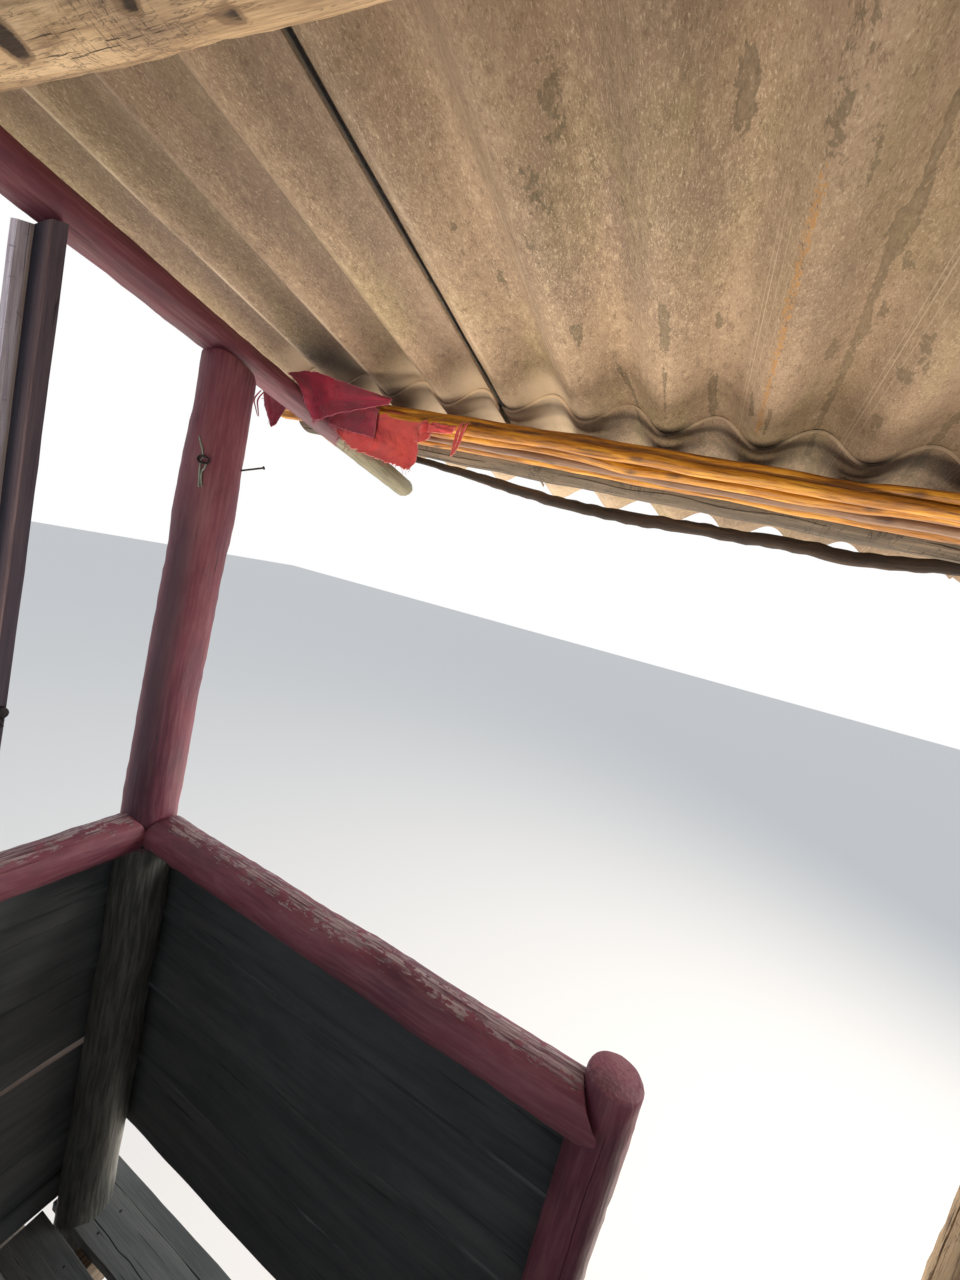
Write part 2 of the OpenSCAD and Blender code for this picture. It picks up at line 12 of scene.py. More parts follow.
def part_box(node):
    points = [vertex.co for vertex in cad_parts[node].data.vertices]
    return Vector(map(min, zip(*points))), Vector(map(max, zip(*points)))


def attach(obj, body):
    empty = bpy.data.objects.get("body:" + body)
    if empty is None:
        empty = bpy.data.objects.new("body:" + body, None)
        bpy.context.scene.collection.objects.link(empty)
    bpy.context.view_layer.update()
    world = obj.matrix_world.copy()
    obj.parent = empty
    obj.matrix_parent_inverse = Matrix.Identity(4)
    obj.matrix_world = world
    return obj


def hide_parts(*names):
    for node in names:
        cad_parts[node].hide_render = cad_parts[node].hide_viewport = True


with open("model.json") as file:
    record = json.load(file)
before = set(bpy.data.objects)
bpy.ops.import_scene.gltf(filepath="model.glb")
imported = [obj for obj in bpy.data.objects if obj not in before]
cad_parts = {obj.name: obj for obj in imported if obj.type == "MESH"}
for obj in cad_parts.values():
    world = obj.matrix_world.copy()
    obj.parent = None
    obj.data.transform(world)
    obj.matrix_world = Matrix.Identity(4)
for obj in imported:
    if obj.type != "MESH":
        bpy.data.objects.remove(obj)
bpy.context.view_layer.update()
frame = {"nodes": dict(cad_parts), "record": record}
nodes = frame["nodes"]
TAU = 2 * math.pi
AXES = Vector((1, 0, 0)), Vector((0, 1, 0)), Vector((0, 0, 1))
RIGHT, FRONT, UP = AXES

# Camera: where the eye stands in the lookout, and how it looks and rolls
EYE = Vector((0.045, 0.063, 4.70))
IMAGE_RIGHT = Vector((0.8817, 0.4091, 0.2349))
IMAGE_DOWN = Vector((0.2617, -0.00995, -0.9651))
FOCAL_PX = 500
IMAGE_HEIGHT_PX = 1280
SENSOR_MM = 36

# Roof: the falls of its plane, and where that plane's own origin lies
ROOF_SLOPE = math.radians(8.8)
CROSS_FALL = math.radians(2.7)
ROOF_ORIGIN = Vector((-0.00187, -0.00485, 5.241))
WAVE_PITCH = 0.177
WAVE_DEPTH = 0.051
SHEET_T = 0.006
COVERS = (5 * WAVE_PITCH, 6 * WAVE_PITCH, 5 * WAVE_PITCH)
SIDE_LAP = 0.044
ROOF_W = sum(COVERS) + SIDE_LAP
END_LAP = 0.200
MITRE_GAP = 0.006
WAVE_PHASE = -0.035 - WAVE_PITCH / 2
LAP_LIFT = 1.45 * SHEET_T
LAP_Y = 1.173
# Fine moulded lines on each wave: place on the wave, half width, both as shares of it, and strength
MOULD_LINES = ((0.715, 0.0050, 0.50), (0.745, 0.0065, 0.60), (0.800, 0.0050, 0.40), (0.860, 0.0040, 0.25))
EDGE_DROOP = (0.006, 0.0015, 0)
EDGE_DROOP_RUN = 0.070

# Logs, boards and poles that the frame's boxes don't tell
POST_D_FOOT = 0.128
POST_D_TOP = 0.104
POST_TOP_SLOPE = 0.29
POST_TOP_DROP = 0.015
RAFTER_D_FRONT = 0.064
HEWN_BY = 0.008
PURLIN_D_BUTT = 0.106
PURLIN_D_TIP = 0.100
# Each wall board's height and the gap over it, from the lowest one up
BOARD_ROWS = ((0.216, 0.005), (0.216, 0.010), (0.190, 0.005), (0.190, 0.005), (0.150, 0))
FRONT_ROWS = ((0.190, 0.005),) * 4
FLOOR_BOARD_W = 0.100
FLOOR_GAP = 0.016
JOIST_T = 0.050
JOIST_COUNT = 4
REBATE_W = 0.018
REBATE_D = 0.050
PROP_TOP_FALL = 0.012
RUNG_STEP = 0.300
BRACE_D = 0.070
BRACE_LOW = 0.320
BRACE_HIGH = 2.520

roof_matrix = (
    Matrix.Translation(ROOF_ORIGIN)
    @ Matrix.Rotation(CROSS_FALL, 4, "Y")
    @ Matrix.Rotation(-ROOF_SLOPE, 4, "X")
)


def make_camera():
    data = bpy.data.cameras.new("camera")
    camera = bpy.data.objects.new("camera", data)
    bpy.context.scene.collection.objects.link(camera)
    right = IMAGE_RIGHT.normalized()
    back = right.cross(-IMAGE_DOWN).normalized()
    up = back.cross(right)
    turn = Matrix((right, up, back)).transposed().to_4x4()
    camera.matrix_world = Matrix.Translation(EYE) @ turn
    data.sensor_fit = "VERTICAL"
    data.sensor_height = SENSOR_MM
    data.sensor_width = SENSOR_MM
    data.lens = FOCAL_PX / IMAGE_HEIGHT_PX * SENSOR_MM
    data.clip_start = 0.01
    bpy.context.scene.camera = camera


def roof_points(node):
    """A node's points in the roof's own plane"""
    back = roof_matrix.inverted()
    return np.array([back @ v.co for v in nodes[node].data.vertices])


def roof_box(node):
    points = roof_points(node)
    return Vector(points.min(0)), Vector(points.max(0))


def roof_y(node):
    """How far down the roof a node's middle lies"""
    low, high = roof_box(node)
    return (low.y + high.y) / 2


def in_roof(x, y, z):
    return roof_matrix @ Vector((x, y, z))


def middle(node):
    low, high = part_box(node)
    return (low + high) / 2


def extent(node):
    low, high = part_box(node)
    return high - low


# Colours and finishes

finishes = {}


def seen(colour):
    """A colour from 0 to 255, written as it is seen, as a shader takes it"""
    linear = [((c / 255 + 0.055) / 1.055) ** 2.4 if c > 10 else c / 255 / 12.92 for c in colour]
    return (*linear, 1)


class Finish:
    """One material's nodes. base is the colour so far, and each layer is laid over it.
    Patterns lie on a piece's own coordinates: two across it and the third along it."""

    def __init__(self, name, roughness=0.8):
        material = bpy.data.materials.new(name)
        material.use_nodes = True
        finishes[name] = material
        self.tree = material.node_tree
        self.tree.nodes.clear()
        self.shader = self.node("BsdfPrincipled", {"Roughness": roughness})
        self.node("OutputMaterial", {0: self.shader.outputs[0]})
        self.base = None

    def put(self, socket, value):
        if isinstance(value, bpy.types.NodeSocket):
            self.tree.links.new(value, socket)
        else:
            socket.default_value = seen(value) if socket.type == "RGBA" else value

    def node(self, kind, inputs, **settings):
        node = self.tree.nodes.new("ShaderNode" + kind)
        for key, value in settings.items():
            setattr(node, key, value)
        for key, value in inputs.items():
            self.put(node.inputs[key], value)
        return node

    def place(self, stretch=(1, 1, 1), shift=(0, 0, 0)):
        grain = self.node("Attribute", {}, attribute_name="grain").outputs["Vector"]
        return self.node("Mapping", {"Vector": grain, "Scale": stretch, "Location": shift}).outputs[0]

    def value(self, name):
        return self.node("Attribute", {}, attribute_name=name).outputs["Fac"]

    def part_of(self, vector, axis):
        return self.node("SeparateXYZ", {0: vector}).outputs[axis]

    def noise(self, scale, stretch, shift=(0, 0, 0), detail=4, rough=0.6, warp=0.0):
        inputs = {"Vector": self.place(stretch, shift), "Scale": scale, "Detail": detail,
                  "Roughness": rough, "Distortion": warp}
        return self.node("TexNoise", inputs).outputs["Fac"]

    def step(self, value, low, high, to_low=0.0, to_high=1.0):
        """Turns a value's range into another, smoothly and held at both ends"""
        inputs = {"Value": value, "From Min": low, "From Max": high, "To Min": to_low, "To Max": to_high}
        return self.node("MapRange", inputs, interpolation_type="SMOOTHSTEP").outputs[0]

    def math(self, operation, a, b=0.0, clamp=False):
        return self.node("Math", {0: a, 1: b}, operation=operation, use_clamp=clamp).outputs[0]

    def times(self, value, *others):
        for other in others:
            value = self.math("MULTIPLY", value, other)
        return value

    def plus(self, a, b):
        return self.math("ADD", a, b)

    def minus(self, a, b):
        return self.math("SUBTRACT", a, b)

    def most(self, a, b):
        return self.math("MAXIMUM", a, b)

    def size(self, value):
        return self.math("ABSOLUTE", value)

    def line(self, value, at, half, strength):
        """A line where a value passes a number"""
        return self.step(self.size(self.minus(value, at)), 0.0, half, strength, 0.0)

    def mix(self, share, a, b):
        return self.node("Mix", {"Factor": share, 6: a, 7: b}, data_type="RGBA").outputs[2]

    def blend(self, value, low, high, a, b):
        return self.mix(self.step(value, low, high), a, b)

    def layer(self, colour, share):
        self.base = self.mix(share, self.base, colour)

    def paint(self, colour, value, low, high, most=1.0):
        """A layer from nothing, where a value is low, to the most, where it is high"""
        self.layer(colour, self.step(value, low, high, 0.0, most))

    def ramp(self, value, *stops):
        node = self.node("ValToRGB", {0: value})
        elements = node.color_ramp.elements
        while len(elements) < len(stops):
            elements.new(0.5)
        for element, (place, colour) in zip(elements, stops):
            element.position = place
            element.color = seen(colour)
        return node.outputs[0]

    def done(self, *bumps, **inputs):
        """Sets the shader's inputs; bumps are heights, each given with its depth in metres"""
        below = {}
        for height, depth in bumps:
            bump = self.node("Bump", {"Distance": depth, "Height": height, **below})
            below = {"Normal": bump.outputs[0]}
        for key, value in {"Base Color": self.base, **below, **inputs}.items():
            self.put(self.shader.inputs[key], value)


def cross_checks(f, colour, cross, wide):
    """Cracks round a log, some of its length long, and finer ones along it"""
    checked = f.step(f.noise(11, (1, 1, 0.6), (1, 6, 5), 2, 0.5), 0.46, 0.62)
    round_it = f.noise(60, (0.16, 0.16, 1), (4, 4, 4), 5, 0.65)
    round_it = f.step(f.size(f.minus(round_it, 0.5)), 0.2 * wide, wide, cross, 0.0)
    along_it = f.noise(75, (1, 1, 0.10), (7, 2, 5))
    along_it = f.step(f.size(f.minus(along_it, 0.5)), 0.003, 0.015, cross, 0.0)
    f.layer(colour, f.most(f.times(round_it, checked), f.times(along_it, 0.55)))


def jamb_faces(f, fine, hairline, crack):
    """An old door jamb: a bleached face painted lighter for the light it catches, flanks painted with shade
    deep in the rebate and painted lighter near their edge, and a pale edge
    """
    # The plank's face: bleached wood, painted lighter for the light it catches
    bleached_and_lit = f.blend(fine, 0.35, 0.65, (254, 244, 250), (216, 202, 210))
    scuffs = f.noise(170, (0.3, 0.3, 1), (6, 3, 3))
    bleached_and_lit = f.mix(f.step(scuffs, 0.62, 0.70, 0.0, 0.55), bleached_and_lit, (110, 98, 104))
    bleached_and_lit = f.mix(hairline, bleached_and_lit, crack)
    f.layer(bleached_and_lit, f.value("bare"))
    # Painted shade deep in the rebate's flank, and painted light near its outer edge
    f.layer((30, 32, 46), f.value("dirt_and_shade"))
    flank_light = f.blend(fine, 0.35, 0.65, (150, 122, 116), (112, 86, 84))
    f.layer(flank_light, f.value("wear"))
    f.layer((148, 124, 92), f.value("edge"))


def bare_wood(name, light, mean, dark, crack, streak=1.0, stain=None, cross=0.0, wide=0.009, jamb=False):
    """Dry wood: streaks along the grain, hairline checks, dark knots and cracks. cross is how much it is
    cracked across, and wide how wide those cracks are."""
    f = Finish(name)
    fine = f.noise(260 * streak, (1, 1, 0.05), rough=0.65)
    broad = f.noise(38 * streak, (1, 1, 0.10), (3, 1, 7), warp=0.6)
    patch = f.noise(5, (1, 1, 0.6), (5, 8, 2), 5)
    f.base = f.ramp(broad, (0.30, dark), (0.50, mean), (0.72, light))
    f.paint(light, fine, 0.35, 0.75, 0.55)
    f.paint(dark, fine, 0.50, 0.22, 0.5)
    f.paint(stain or dark, patch, 0.48, 0.70, 0.6)
    hairline = f.step(f.noise(130 * streak, (1, 1, 0.025), (9, 4, 1), 3, 0.7), 0.655, 0.69)
    f.layer(crack, f.times(hairline, 0.75))
    if cross:
        cross_checks(f, crack, cross, wide)
    if jamb:
        jamb_faces(f, fine, hairline, crack)
    torn = f.plus(f.value("knot"), f.times(f.minus(broad, 0.5), 0.9))
    f.paint(dark, torn, 0.36, 0.54, 0.70)
    f.paint(crack, torn, 0.58, 0.74, 0.92)
    f.paint(crack, f.value("crack"), 0.25, 0.8)
    f.paint(dark, f.value("tone"), 0, 1, 0.35)
    if not jamb:
        # Painted light on the upper edge of a wall board
        f.layer((176, 152, 136), f.value("wear"))
    bumps = (fine, 0.0014), (f.minus(1.0, hairline), 0.0018)
    f.done(*bumps, Roughness=f.step(fine, 0.3, 0.7, 0.77, 0.95))


def painted_wood(name):
    """Old brushed paint on a log: brush marks, faded and dirty patches, worn spots down to the wood"""
    paint, faded, shade = (124, 60, 73), (154, 106, 110), (80, 40, 54)
    wood, crack, nose = (180, 160, 156), (36, 20, 26), (138, 130, 100)
    f = Finish(name)
    brush = f.noise(160, (1, 1, 0.07))
    patch = f.noise(9, (1, 1, 0.35), (4, 2, 9), 5, warp=0.4)
    spot = f.noise(95, (1, 1, 0.4), (7, 7, 3), 5, 0.7)
    fibre = f.noise(240, (1, 1, 0.04), (1, 5, 2))
    f.base = f.ramp(patch, (0.30, shade), (0.52, paint), (0.74, faded))
    f.paint(faded, brush, 0.42, 0.72, 0.38)
    f.paint(shade, brush, 0.48, 0.25, 0.40)
    flake = f.plus(f.times(spot, 0.75), f.times(patch, 0.25))
    worn = f.step(f.plus(flake, f.times(f.value("wear"), 0.22)), 0.73, 0.76)
    f.layer(f.blend(fibre, 0.35, 0.65, wood, shade), f.times(worn, 0.85))
    hairline = f.step(f.noise(120, (1, 1, 0.022), (2, 9, 4), 3, 0.7), 0.66, 0.70)
    f.layer(crack, f.times(hairline, 0.6))
    gap = f.step(f.value("crack"), 0.25, 0.8)
    f.layer(crack, gap)
    # A darker blue-grey band on the post's inward side
    f.layer((64, 52, 62), f.times(f.step(f.value("dirt_and_shade"), 0.0, 0.35), f.step(patch, 0.25, 0.60, 0.35, 0.75)))
    weathered = f.blend(brush, 0.35, 0.65, (58, 58, 54), (96, 94, 86))
    weathered = f.mix(f.most(hairline, gap), weathered, (24, 24, 24))
    f.paint(weathered, f.plus(f.value("dirt_and_shade"), f.times(patch, 0.4)), 0.66, 0.74)
    bare_end = f.step(f.value("bare"), 0.45, 0.55)
    end_grain = f.blend(fibre, 0.35, 0.65, nose, f.mix(0.4, nose, crack))
    hair_end = f.noise(150, (1, 1, 0.03), (3, 3, 8), 3, 0.7)
    end_grain = f.mix(f.step(hair_end, 0.58, 0.62, 0.0, 0.55), end_grain, f.mix(0.75, nose, crack))
    f.layer(end_grain, bare_end)
    bumps = (brush, 0.0012), (f.minus(1.0, hairline), 0.0012)
    f.done(*bumps, Roughness=f.step(patch, 0.3, 0.7, 0.50, 0.72))


def varnished_wood(name):
    """Amber varnish on thin poles, with darker grain and nodes"""
    f = Finish(name)
    fine = f.noise(420, (1, 1, 0.04), detail=5, rough=0.65)
    broad = f.noise(60, (1, 1, 0.12), (2, 6, 1), warp=0.5)
    f.base = f.ramp(broad, (0.28, (104, 58, 10)), (0.50, (182, 118, 22)), (0.72, (228, 168, 56)))
    f.paint((72, 36, 12), fine, 0.52, 0.30, 0.80)
    f.paint((236, 186, 88), fine, 0.56, 0.8, 0.4)
    f.paint((62, 32, 12), f.noise(110, (1, 1, 0.05), (6, 1, 4), 3, 0.7), 0.60, 0.66, 0.50)
    grey = f.blend(fine, 0.3, 0.7, (138, 110, 92), (96, 72, 60))
    f.paint(grey, f.value("tone"), 0.4, 0.9, 0.85)
    f.layer((60, 32, 14), f.times(f.step(f.value("knot"), 0.1, 0.7), 0.8))
    f.paint((48, 26, 12), f.value("crack"), 0.3, 0.8)
    f.done((fine, 0.0005), (broad, 0.0010), Roughness=f.step(fine, 0.3, 0.7, 0.36, 0.55))


def fibre_cement(name):
    """Old corrugated sheet: fibrous beige underside with crisp stains, grey weathered top"""
    f = Finish(name, 0.92)
    here = f.place()
    across, down = f.part_of(here, 0), f.part_of(here, 2)
    fine = f.noise(460, (1, 1, 0.42), (0, 0, 0), 3, 0.7, 0.5)
    curl = f.noise(120, (1, 1, 0.5), (2, 5, 3), 3, warp=1.5)
    mottle = f.noise(85, (1, 1, 0.6), (8, 1, 5), 4, 0.65)
    cloud = f.noise(5, (1, 1, 0.45), (3, 3, 1), 3, 0.55)
    f.base = f.ramp(cloud, (0.32, (142, 120, 101)), (0.50, (166, 141, 115)), (0.68, (182, 156, 131)))
    f.paint((160, 144, 104), f.noise(8, (1, 1, 0.35), (6, 2, 8), 2, 0.5), 0.50, 0.66, 0.55)
    # Painted shade: a cool purplish grey towards the left column
    f.paint((132, 116, 112), across, -0.40, -0.95, 0.12)
    f.paint((112, 92, 72), mottle, 0.48, 0.32, 0.50)
    f.paint((212, 188, 156), mottle, 0.52, 0.68, 0.35)
    f.paint((88, 72, 54), fine, 0.45, 0.28, 0.70)
    f.paint((232, 212, 182), fine, 0.54, 0.70, 0.60)
    f.layer((230, 210, 180), f.line(curl, 0.5, 0.020, 0.35))
    wave_place = f.math("FRACT", f.math("DIVIDE", f.minus(across, WAVE_PHASE), WAVE_PITCH))
    lines = 0.0
    for at, half, strength in MOULD_LINES:
        lines = f.most(f.line(wave_place, at, half, strength), lines)
    broken = f.step(f.noise(9, (0.9, 0, 0.3), (1, 1, 6), 3), 0.42, 0.58)
    f.layer((236, 216, 186), f.times(lines, broken))
    sheet_stains(f)
    lap_light(f, across, down, wave_place, broken, mottle)
    # Painted shadows on the crests over the flags
    f.layer((30, 32, 40), f.times(f.value("dirt_and_shade"), 0.9))
    lichen = f.step(f.plus(mottle, f.times(cloud, 0.6)), 0.86, 0.98)
    top = f.ramp(cloud, (0.25, (112, 110, 104)), (0.5, (150, 148, 140)), (0.75, (178, 175, 166)))
    top = f.mix(f.times(lichen, 0.75), top, (70, 72, 62))
    top = f.mix(f.step(fine, 0.52, 0.25, 0.0, 0.4), top, (96, 94, 88))
    f.layer(top, f.times(f.step(f.value("top"), 0.4, 0.6), f.step(end_face(f), 0.8, 0.6)))
    f.done((fine, 0.0007))


def end_face(f):
    """How far the real surface faces to the front or the rear, as a sheet's sawn end does"""
    return f.size(f.part_of(f.node("NewGeometry", {}).outputs["True Normal"], 1))


def sheet_stains(f):
    """Crisp dark stains with a paler middle, and rust"""
    speck = f.noise(100, (1, 1, 0.7), (9, 9, 2), 3, 0.65, 0.4)
    mark = f.plus(f.times(speck, 0.7), f.times(f.value("stain"), 0.6))
    cover = f.minus(f.step(mark, 0.56, 0.62), f.step(mark, 0.66, 0.76, 0.0, 0.30))
    f.layer((86, 80, 60), f.times(cover, 0.60))
    dots = f.noise(190, (1, 1, 0.7), (2, 2, 9), 3)
    f.paint((198, 142, 70), f.plus(dots, f.times(f.value("rust"), 0.5)), 0.74, 0.86, 0.70)
    f.layer((104, 60, 34), f.times(f.value("rust"), f.step(dots, 0.42, 0.34)))


def lap_light(f, across, down, wave_place, broken, mottle):
    """Painted light and shade on the underside: painted shade towards the rear and the right side; near the
    end lap, painted shade in the wave crests and painted highlights along the valleys at the left, painted
    light behind the lap at the left, mottled dampness with painted shade behind the lap, and a sheet end
    painted lighter with painted shadow crescents under it"""
    lower = f.value("lower")
    from_valley = f.minus(f.math("FRACT", f.plus(wave_place, 0.5)), 0.5)
    to_side = f.size(from_valley)
    left = f.step(across, -0.30, -0.70)
    # Painted shade in the wave crests at the left, short of the lap
    crest_shade = f.times(f.step(to_side, 0.08, 0.34), left, f.step(down, LAP_Y + 0.02, LAP_Y - 0.14))
    f.layer((106, 94, 90), f.times(crest_shade, 0.40))
    # Painted highlights along the valleys' lowest lines at the left, broken in places
    valley_highlight = f.step(f.size(f.plus(from_valley, 0.02)), 0.0, 0.05, 0.60, 0.0)
    f.layer((226, 206, 178), f.times(valley_highlight, left, broken))
    # Painted shade, darker towards the rear and towards the right side
    rear = f.times(f.step(down, 0.80, 0.35), f.step(across, -0.75, -0.30, 0.28, 0.54))
    f.layer((104, 84, 64), f.most(rear, f.step(across, -0.20, 0.15, 0.0, 0.44)))
    # Painted light behind the lap at the left, against the shade there
    pale = f.times(f.step(across, -0.22, -0.36), f.step(down, LAP_Y - 0.12, LAP_Y))
    f.layer((214, 192, 164), f.times(pale, 0.50))
    # Painted light on the crests where the flag poles cast their shadow behind the lap
    lit_in_pole_shadow = f.times(f.step(to_side, 0.10, 0.34), f.step(down, LAP_Y + 0.14, LAP_Y + 0.03))
    f.layer((236, 214, 184), f.times(lit_in_pole_shadow, pale, 0.75))
    # Mottled dampness on the crests behind the lap, darkened further as painted shade
    damp_and_shade = f.times(f.step(down, LAP_Y + 0.36, LAP_Y + 0.10), f.step(down, LAP_Y, LAP_Y + 0.06),
                   f.step(mottle, 0.38, 0.60, 0.0, 0.50), f.step(to_side, 0.12, 0.36),
                   f.step(across, -0.44, -0.16))
    f.layer((80, 74, 60), damp_and_shade)
    # The lower sheets' sawn ends painted lighter, as painted light
    lit_lap_end = f.times(f.step(end_face(f), 0.6, 0.8), lower, f.step(across, -0.36, -0.14))
    f.layer((236, 216, 190), f.times(lit_lap_end, 0.26))
    # Painted shadow crescents under the lap at the valleys, on the upper sheet and the lower sheets' ends
    under_lap = f.most(f.math("SUBTRACT", 0.6, lower, True), lit_lap_end)
    crescent_shadow = f.times(f.step(from_valley, -0.12, 0.02), f.step(from_valley, 0.30, 0.12),
                       f.step(down, LAP_Y - 0.024, LAP_Y - 0.004), under_lap, f.step(across, -0.34, -0.14))
    f.layer((50, 42, 32), f.times(crescent_shadow, 0.85))


def flag_cloth(name, bright, deep, edge):
    """Coarse woven cloth: faded patches, creases and a paler torn edge"""
    f = Finish(name, 0.85)
    weave = [f.node("TexWave", {"Vector": f.place(stretch), "Scale": 420, "Distortion": 0.4},
                    bands_direction=direction).outputs["Fac"]
             for stretch, direction in (((1, 0, 0), "X"), ((0, 0, 1), "Z"))]
    threads = f.most(*weave)
    f.base = f.ramp(f.noise(14, (1, 1, 1)), (0.30, deep), (0.65, bright))
    f.layer(deep, f.step(threads, 0.2, 0.9, 0.30, 0.0))
    f.paint(edge, f.value("edge"), 0.55, 0.95, 0.85)
    crease = f.noise(40, (1, 1, 0.5), (3, 3, 3), 3, 0.5, 0.6)
    sheen = {"Sheen Weight": 0.25, "Sheen Roughness": 0.5}
    f.done((threads, 0.0004), (crease, 0.0020), **sheen)


def metal(name, light, dark, roughness, metallic, scale):
    """A small piece's finish: two tones and a fine roughness"""
    f = Finish(name, roughness)
    speck = f.noise(scale, (1, 1, 1), detail=5, rough=0.65)
    f.base = f.ramp(speck, (0.35, dark), (0.65, light))
    f.done((speck, 0.0006), Metallic=metallic)


painted_wood("red_paint")
bare_wood("tan_wood", (236, 204, 162), (184, 152, 114), (112, 86, 62), (46, 33, 24),
          stain=(132, 110, 92), cross=0.90)
bare_wood("eave_wood", (122, 106, 88), (92, 80, 66), (60, 52, 44), (22, 18, 15),
          stain=(74, 66, 56), cross=0.95, wide=0.018)
bare_wood("grey_wood", (164, 146, 124), (130, 112, 92), (90, 76, 62), (36, 30, 26),
          stain=(104, 92, 78), cross=0.75)
bare_wood("pole_wood", (84, 64, 50), (46, 36, 30), (26, 20, 17), (14, 11, 9))
bare_wood("board_wood", (104, 104, 100), (84, 86, 84), (58, 60, 60), (20, 20, 20),
          streak=0.7, stain=(64, 68, 66))
bare_wood("prop_wood", (104, 90, 96), (84, 72, 82), (56, 48, 58), (26, 22, 24), streak=0.8, jamb=True)
varnished_wood("varnished_wood")
fibre_cement("fibre_cement")
flag_cloth("bright_cloth", (255, 96, 86), (206, 50, 66), (255, 168, 160))
flag_cloth("dark_cloth", (196, 42, 78), (112, 22, 54), (236, 136, 156))
metal("iron", (58, 52, 50), (28, 26, 28), 0.55, 0.6, 300)
metal("zinc", (170, 172, 172), (110, 100, 92), 0.5, 0.7, 300)
metal("old_wire", (168, 180, 166), (116, 120, 108), 0.7, 0.2, 400)


# Meshes

record_slots = {row["node"]: row["material_slot"] for row in frame["record"]["subparts"]}


class Piece:
    """Gathers closed tubes of points, with the values that the finishes read, into one mesh.
    It replaces the node that has its name; a piece without such a node is given a slot."""

    VALUES = ("tone", "crack", "knot", "wear", "bare", "stain", "rust", "dirt_and_shade", "top", "edge", "lower")

    def __init__(self, name, finish, slot=None):
        self.name, self.finish, self.slot = name, finish, slot or record_slots[name]
        self.points, self.faces, self.grain, self.count = [], [], [], 0
        self.values = {key: [] for key in self.VALUES}

    def add(self, points, faces, grain, **values):
        points = np.asarray(points, float).reshape(-1, 3)
        self.points.append(points)
        self.grain.append(np.asarray(grain, float).reshape(-1, 3))
        self.faces += [[i + self.count for i in face] for face in faces]
        for key in self.VALUES:
            value = np.broadcast_to(np.asarray(values.get(key, 0.0), float).ravel(), (len(points),))
            self.values[key].append(value)
        self.count += len(points)

    def add_tube(self, points, grain, **values):
        """A grid of rings, closed round and with a face over each end"""
        rings, columns = points.shape[:2]
        faces = []
        for i in range(rings - 1):
            for j in range(columns):
                k = (j + 1) % columns
                faces.append((i * columns + j, (i + 1) * columns + j, (i + 1) * columns + k, i * columns + k))
        faces.append(tuple(range(columns)))
        faces.append(tuple((rings - 1) * columns + j for j in range(columns - 1, -1, -1)))
        self.add(points, faces, grain, **values)

    def make(self, sharp=38):
        mesh = bpy.data.meshes.new(self.name)
        mesh.from_pydata(np.concatenate(self.points).tolist(), [], self.faces)
        grain = mesh.attributes.new("grain", "FLOAT_VECTOR", "POINT")
        grain.data.foreach_set("vector", np.concatenate(self.grain).astype(np.float32).ravel())
        for key, parts in self.values.items():
            value = np.concatenate(parts).astype(np.float32)
            if value.any():
                mesh.attributes.new(key, "FLOAT", "POINT").data.foreach_set("value", value)
        mesh.polygons.foreach_set("use_smooth", np.ones(len(mesh.polygons), bool))
        mesh.set_sharp_from_angle(angle=math.radians(sharp))
        mesh.materials.append(finishes[self.finish])
        piece = bpy.data.objects.new(self.name, mesh)
        bpy.context.scene.collection.objects.link(piece)
        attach(piece, "root")
        if self.name in nodes:
            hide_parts(self.name)
        return piece


def ripple(rng, s, angle, count, lengths, orders):
    """A sum of random waves round and along a log, about -1 to 1"""
    total = np.zeros(np.broadcast(s, angle).shape)
    for _ in range(count):
        length = math.exp(rng.uniform(math.log(lengths[0]), math.log(lengths[1])))
        order = rng.integers(orders[0], orders[1] + 1)
        total += np.cos(order * angle + s * TAU / length + rng.uniform(0, TAU))
    return total / math.sqrt(count)


def drift(rng, s, count, shortest, longest):
    """Random waves along a piece only"""
    return ripple(rng, s, 0, count, (shortest, longest), (0, 0))


def window(s, at, half):
    """1 at a place, falling to 0 at half a length from it"""
    return np.clip(1 - ((s - at) / half) ** 2, 0, 1)


def near_start(s, start, run):
    """1 at a start and before it, falling to 0 at a run from it"""
    return np.clip(1 - (s - start) / run, 0, 1)


def near_end(s, end, run):
    return near_start(-s, -end, run)


def turn_from(angle, other):
    """How far an angle is turned from another, -pi to pi"""
    return np.angle(np.exp(1j * (angle - other)))


def frame_of(start, end, up):
    """Length and axes of a straight piece: along it, to its side and to its top"""
    start, end = Vector(start), Vector(end)
    along = (end - start).normalized()
    side = along.cross(Vector(up)).normalized()
    return (end - start).length, np.array(along), np.array(side), np.array(side.cross(along))


def ring_places(length, step, bevel):
    """Where a piece's rings lie along it, and how much smaller each is"""
    inner = np.linspace(bevel, length - bevel, max(3, round((length - 2 * bevel) / step)))
    s = np.concatenate([[0, bevel * 0.35], inner, [length - bevel * 0.35, length]])
    inset = np.concatenate([[bevel, bevel * 0.3], np.zeros(len(inner)), [bevel * 0.3, bevel]])
    return s[:, None], inset[:, None]


LOG_STEP = 0.02
LOG_ROUGH = 0.018
LOG_FINE = 0.0007
LOG_SWAY = 0.0012
KNOT_PIT = 0.003
COPE_RUN = 0.12
COPE_SINK = 0.003


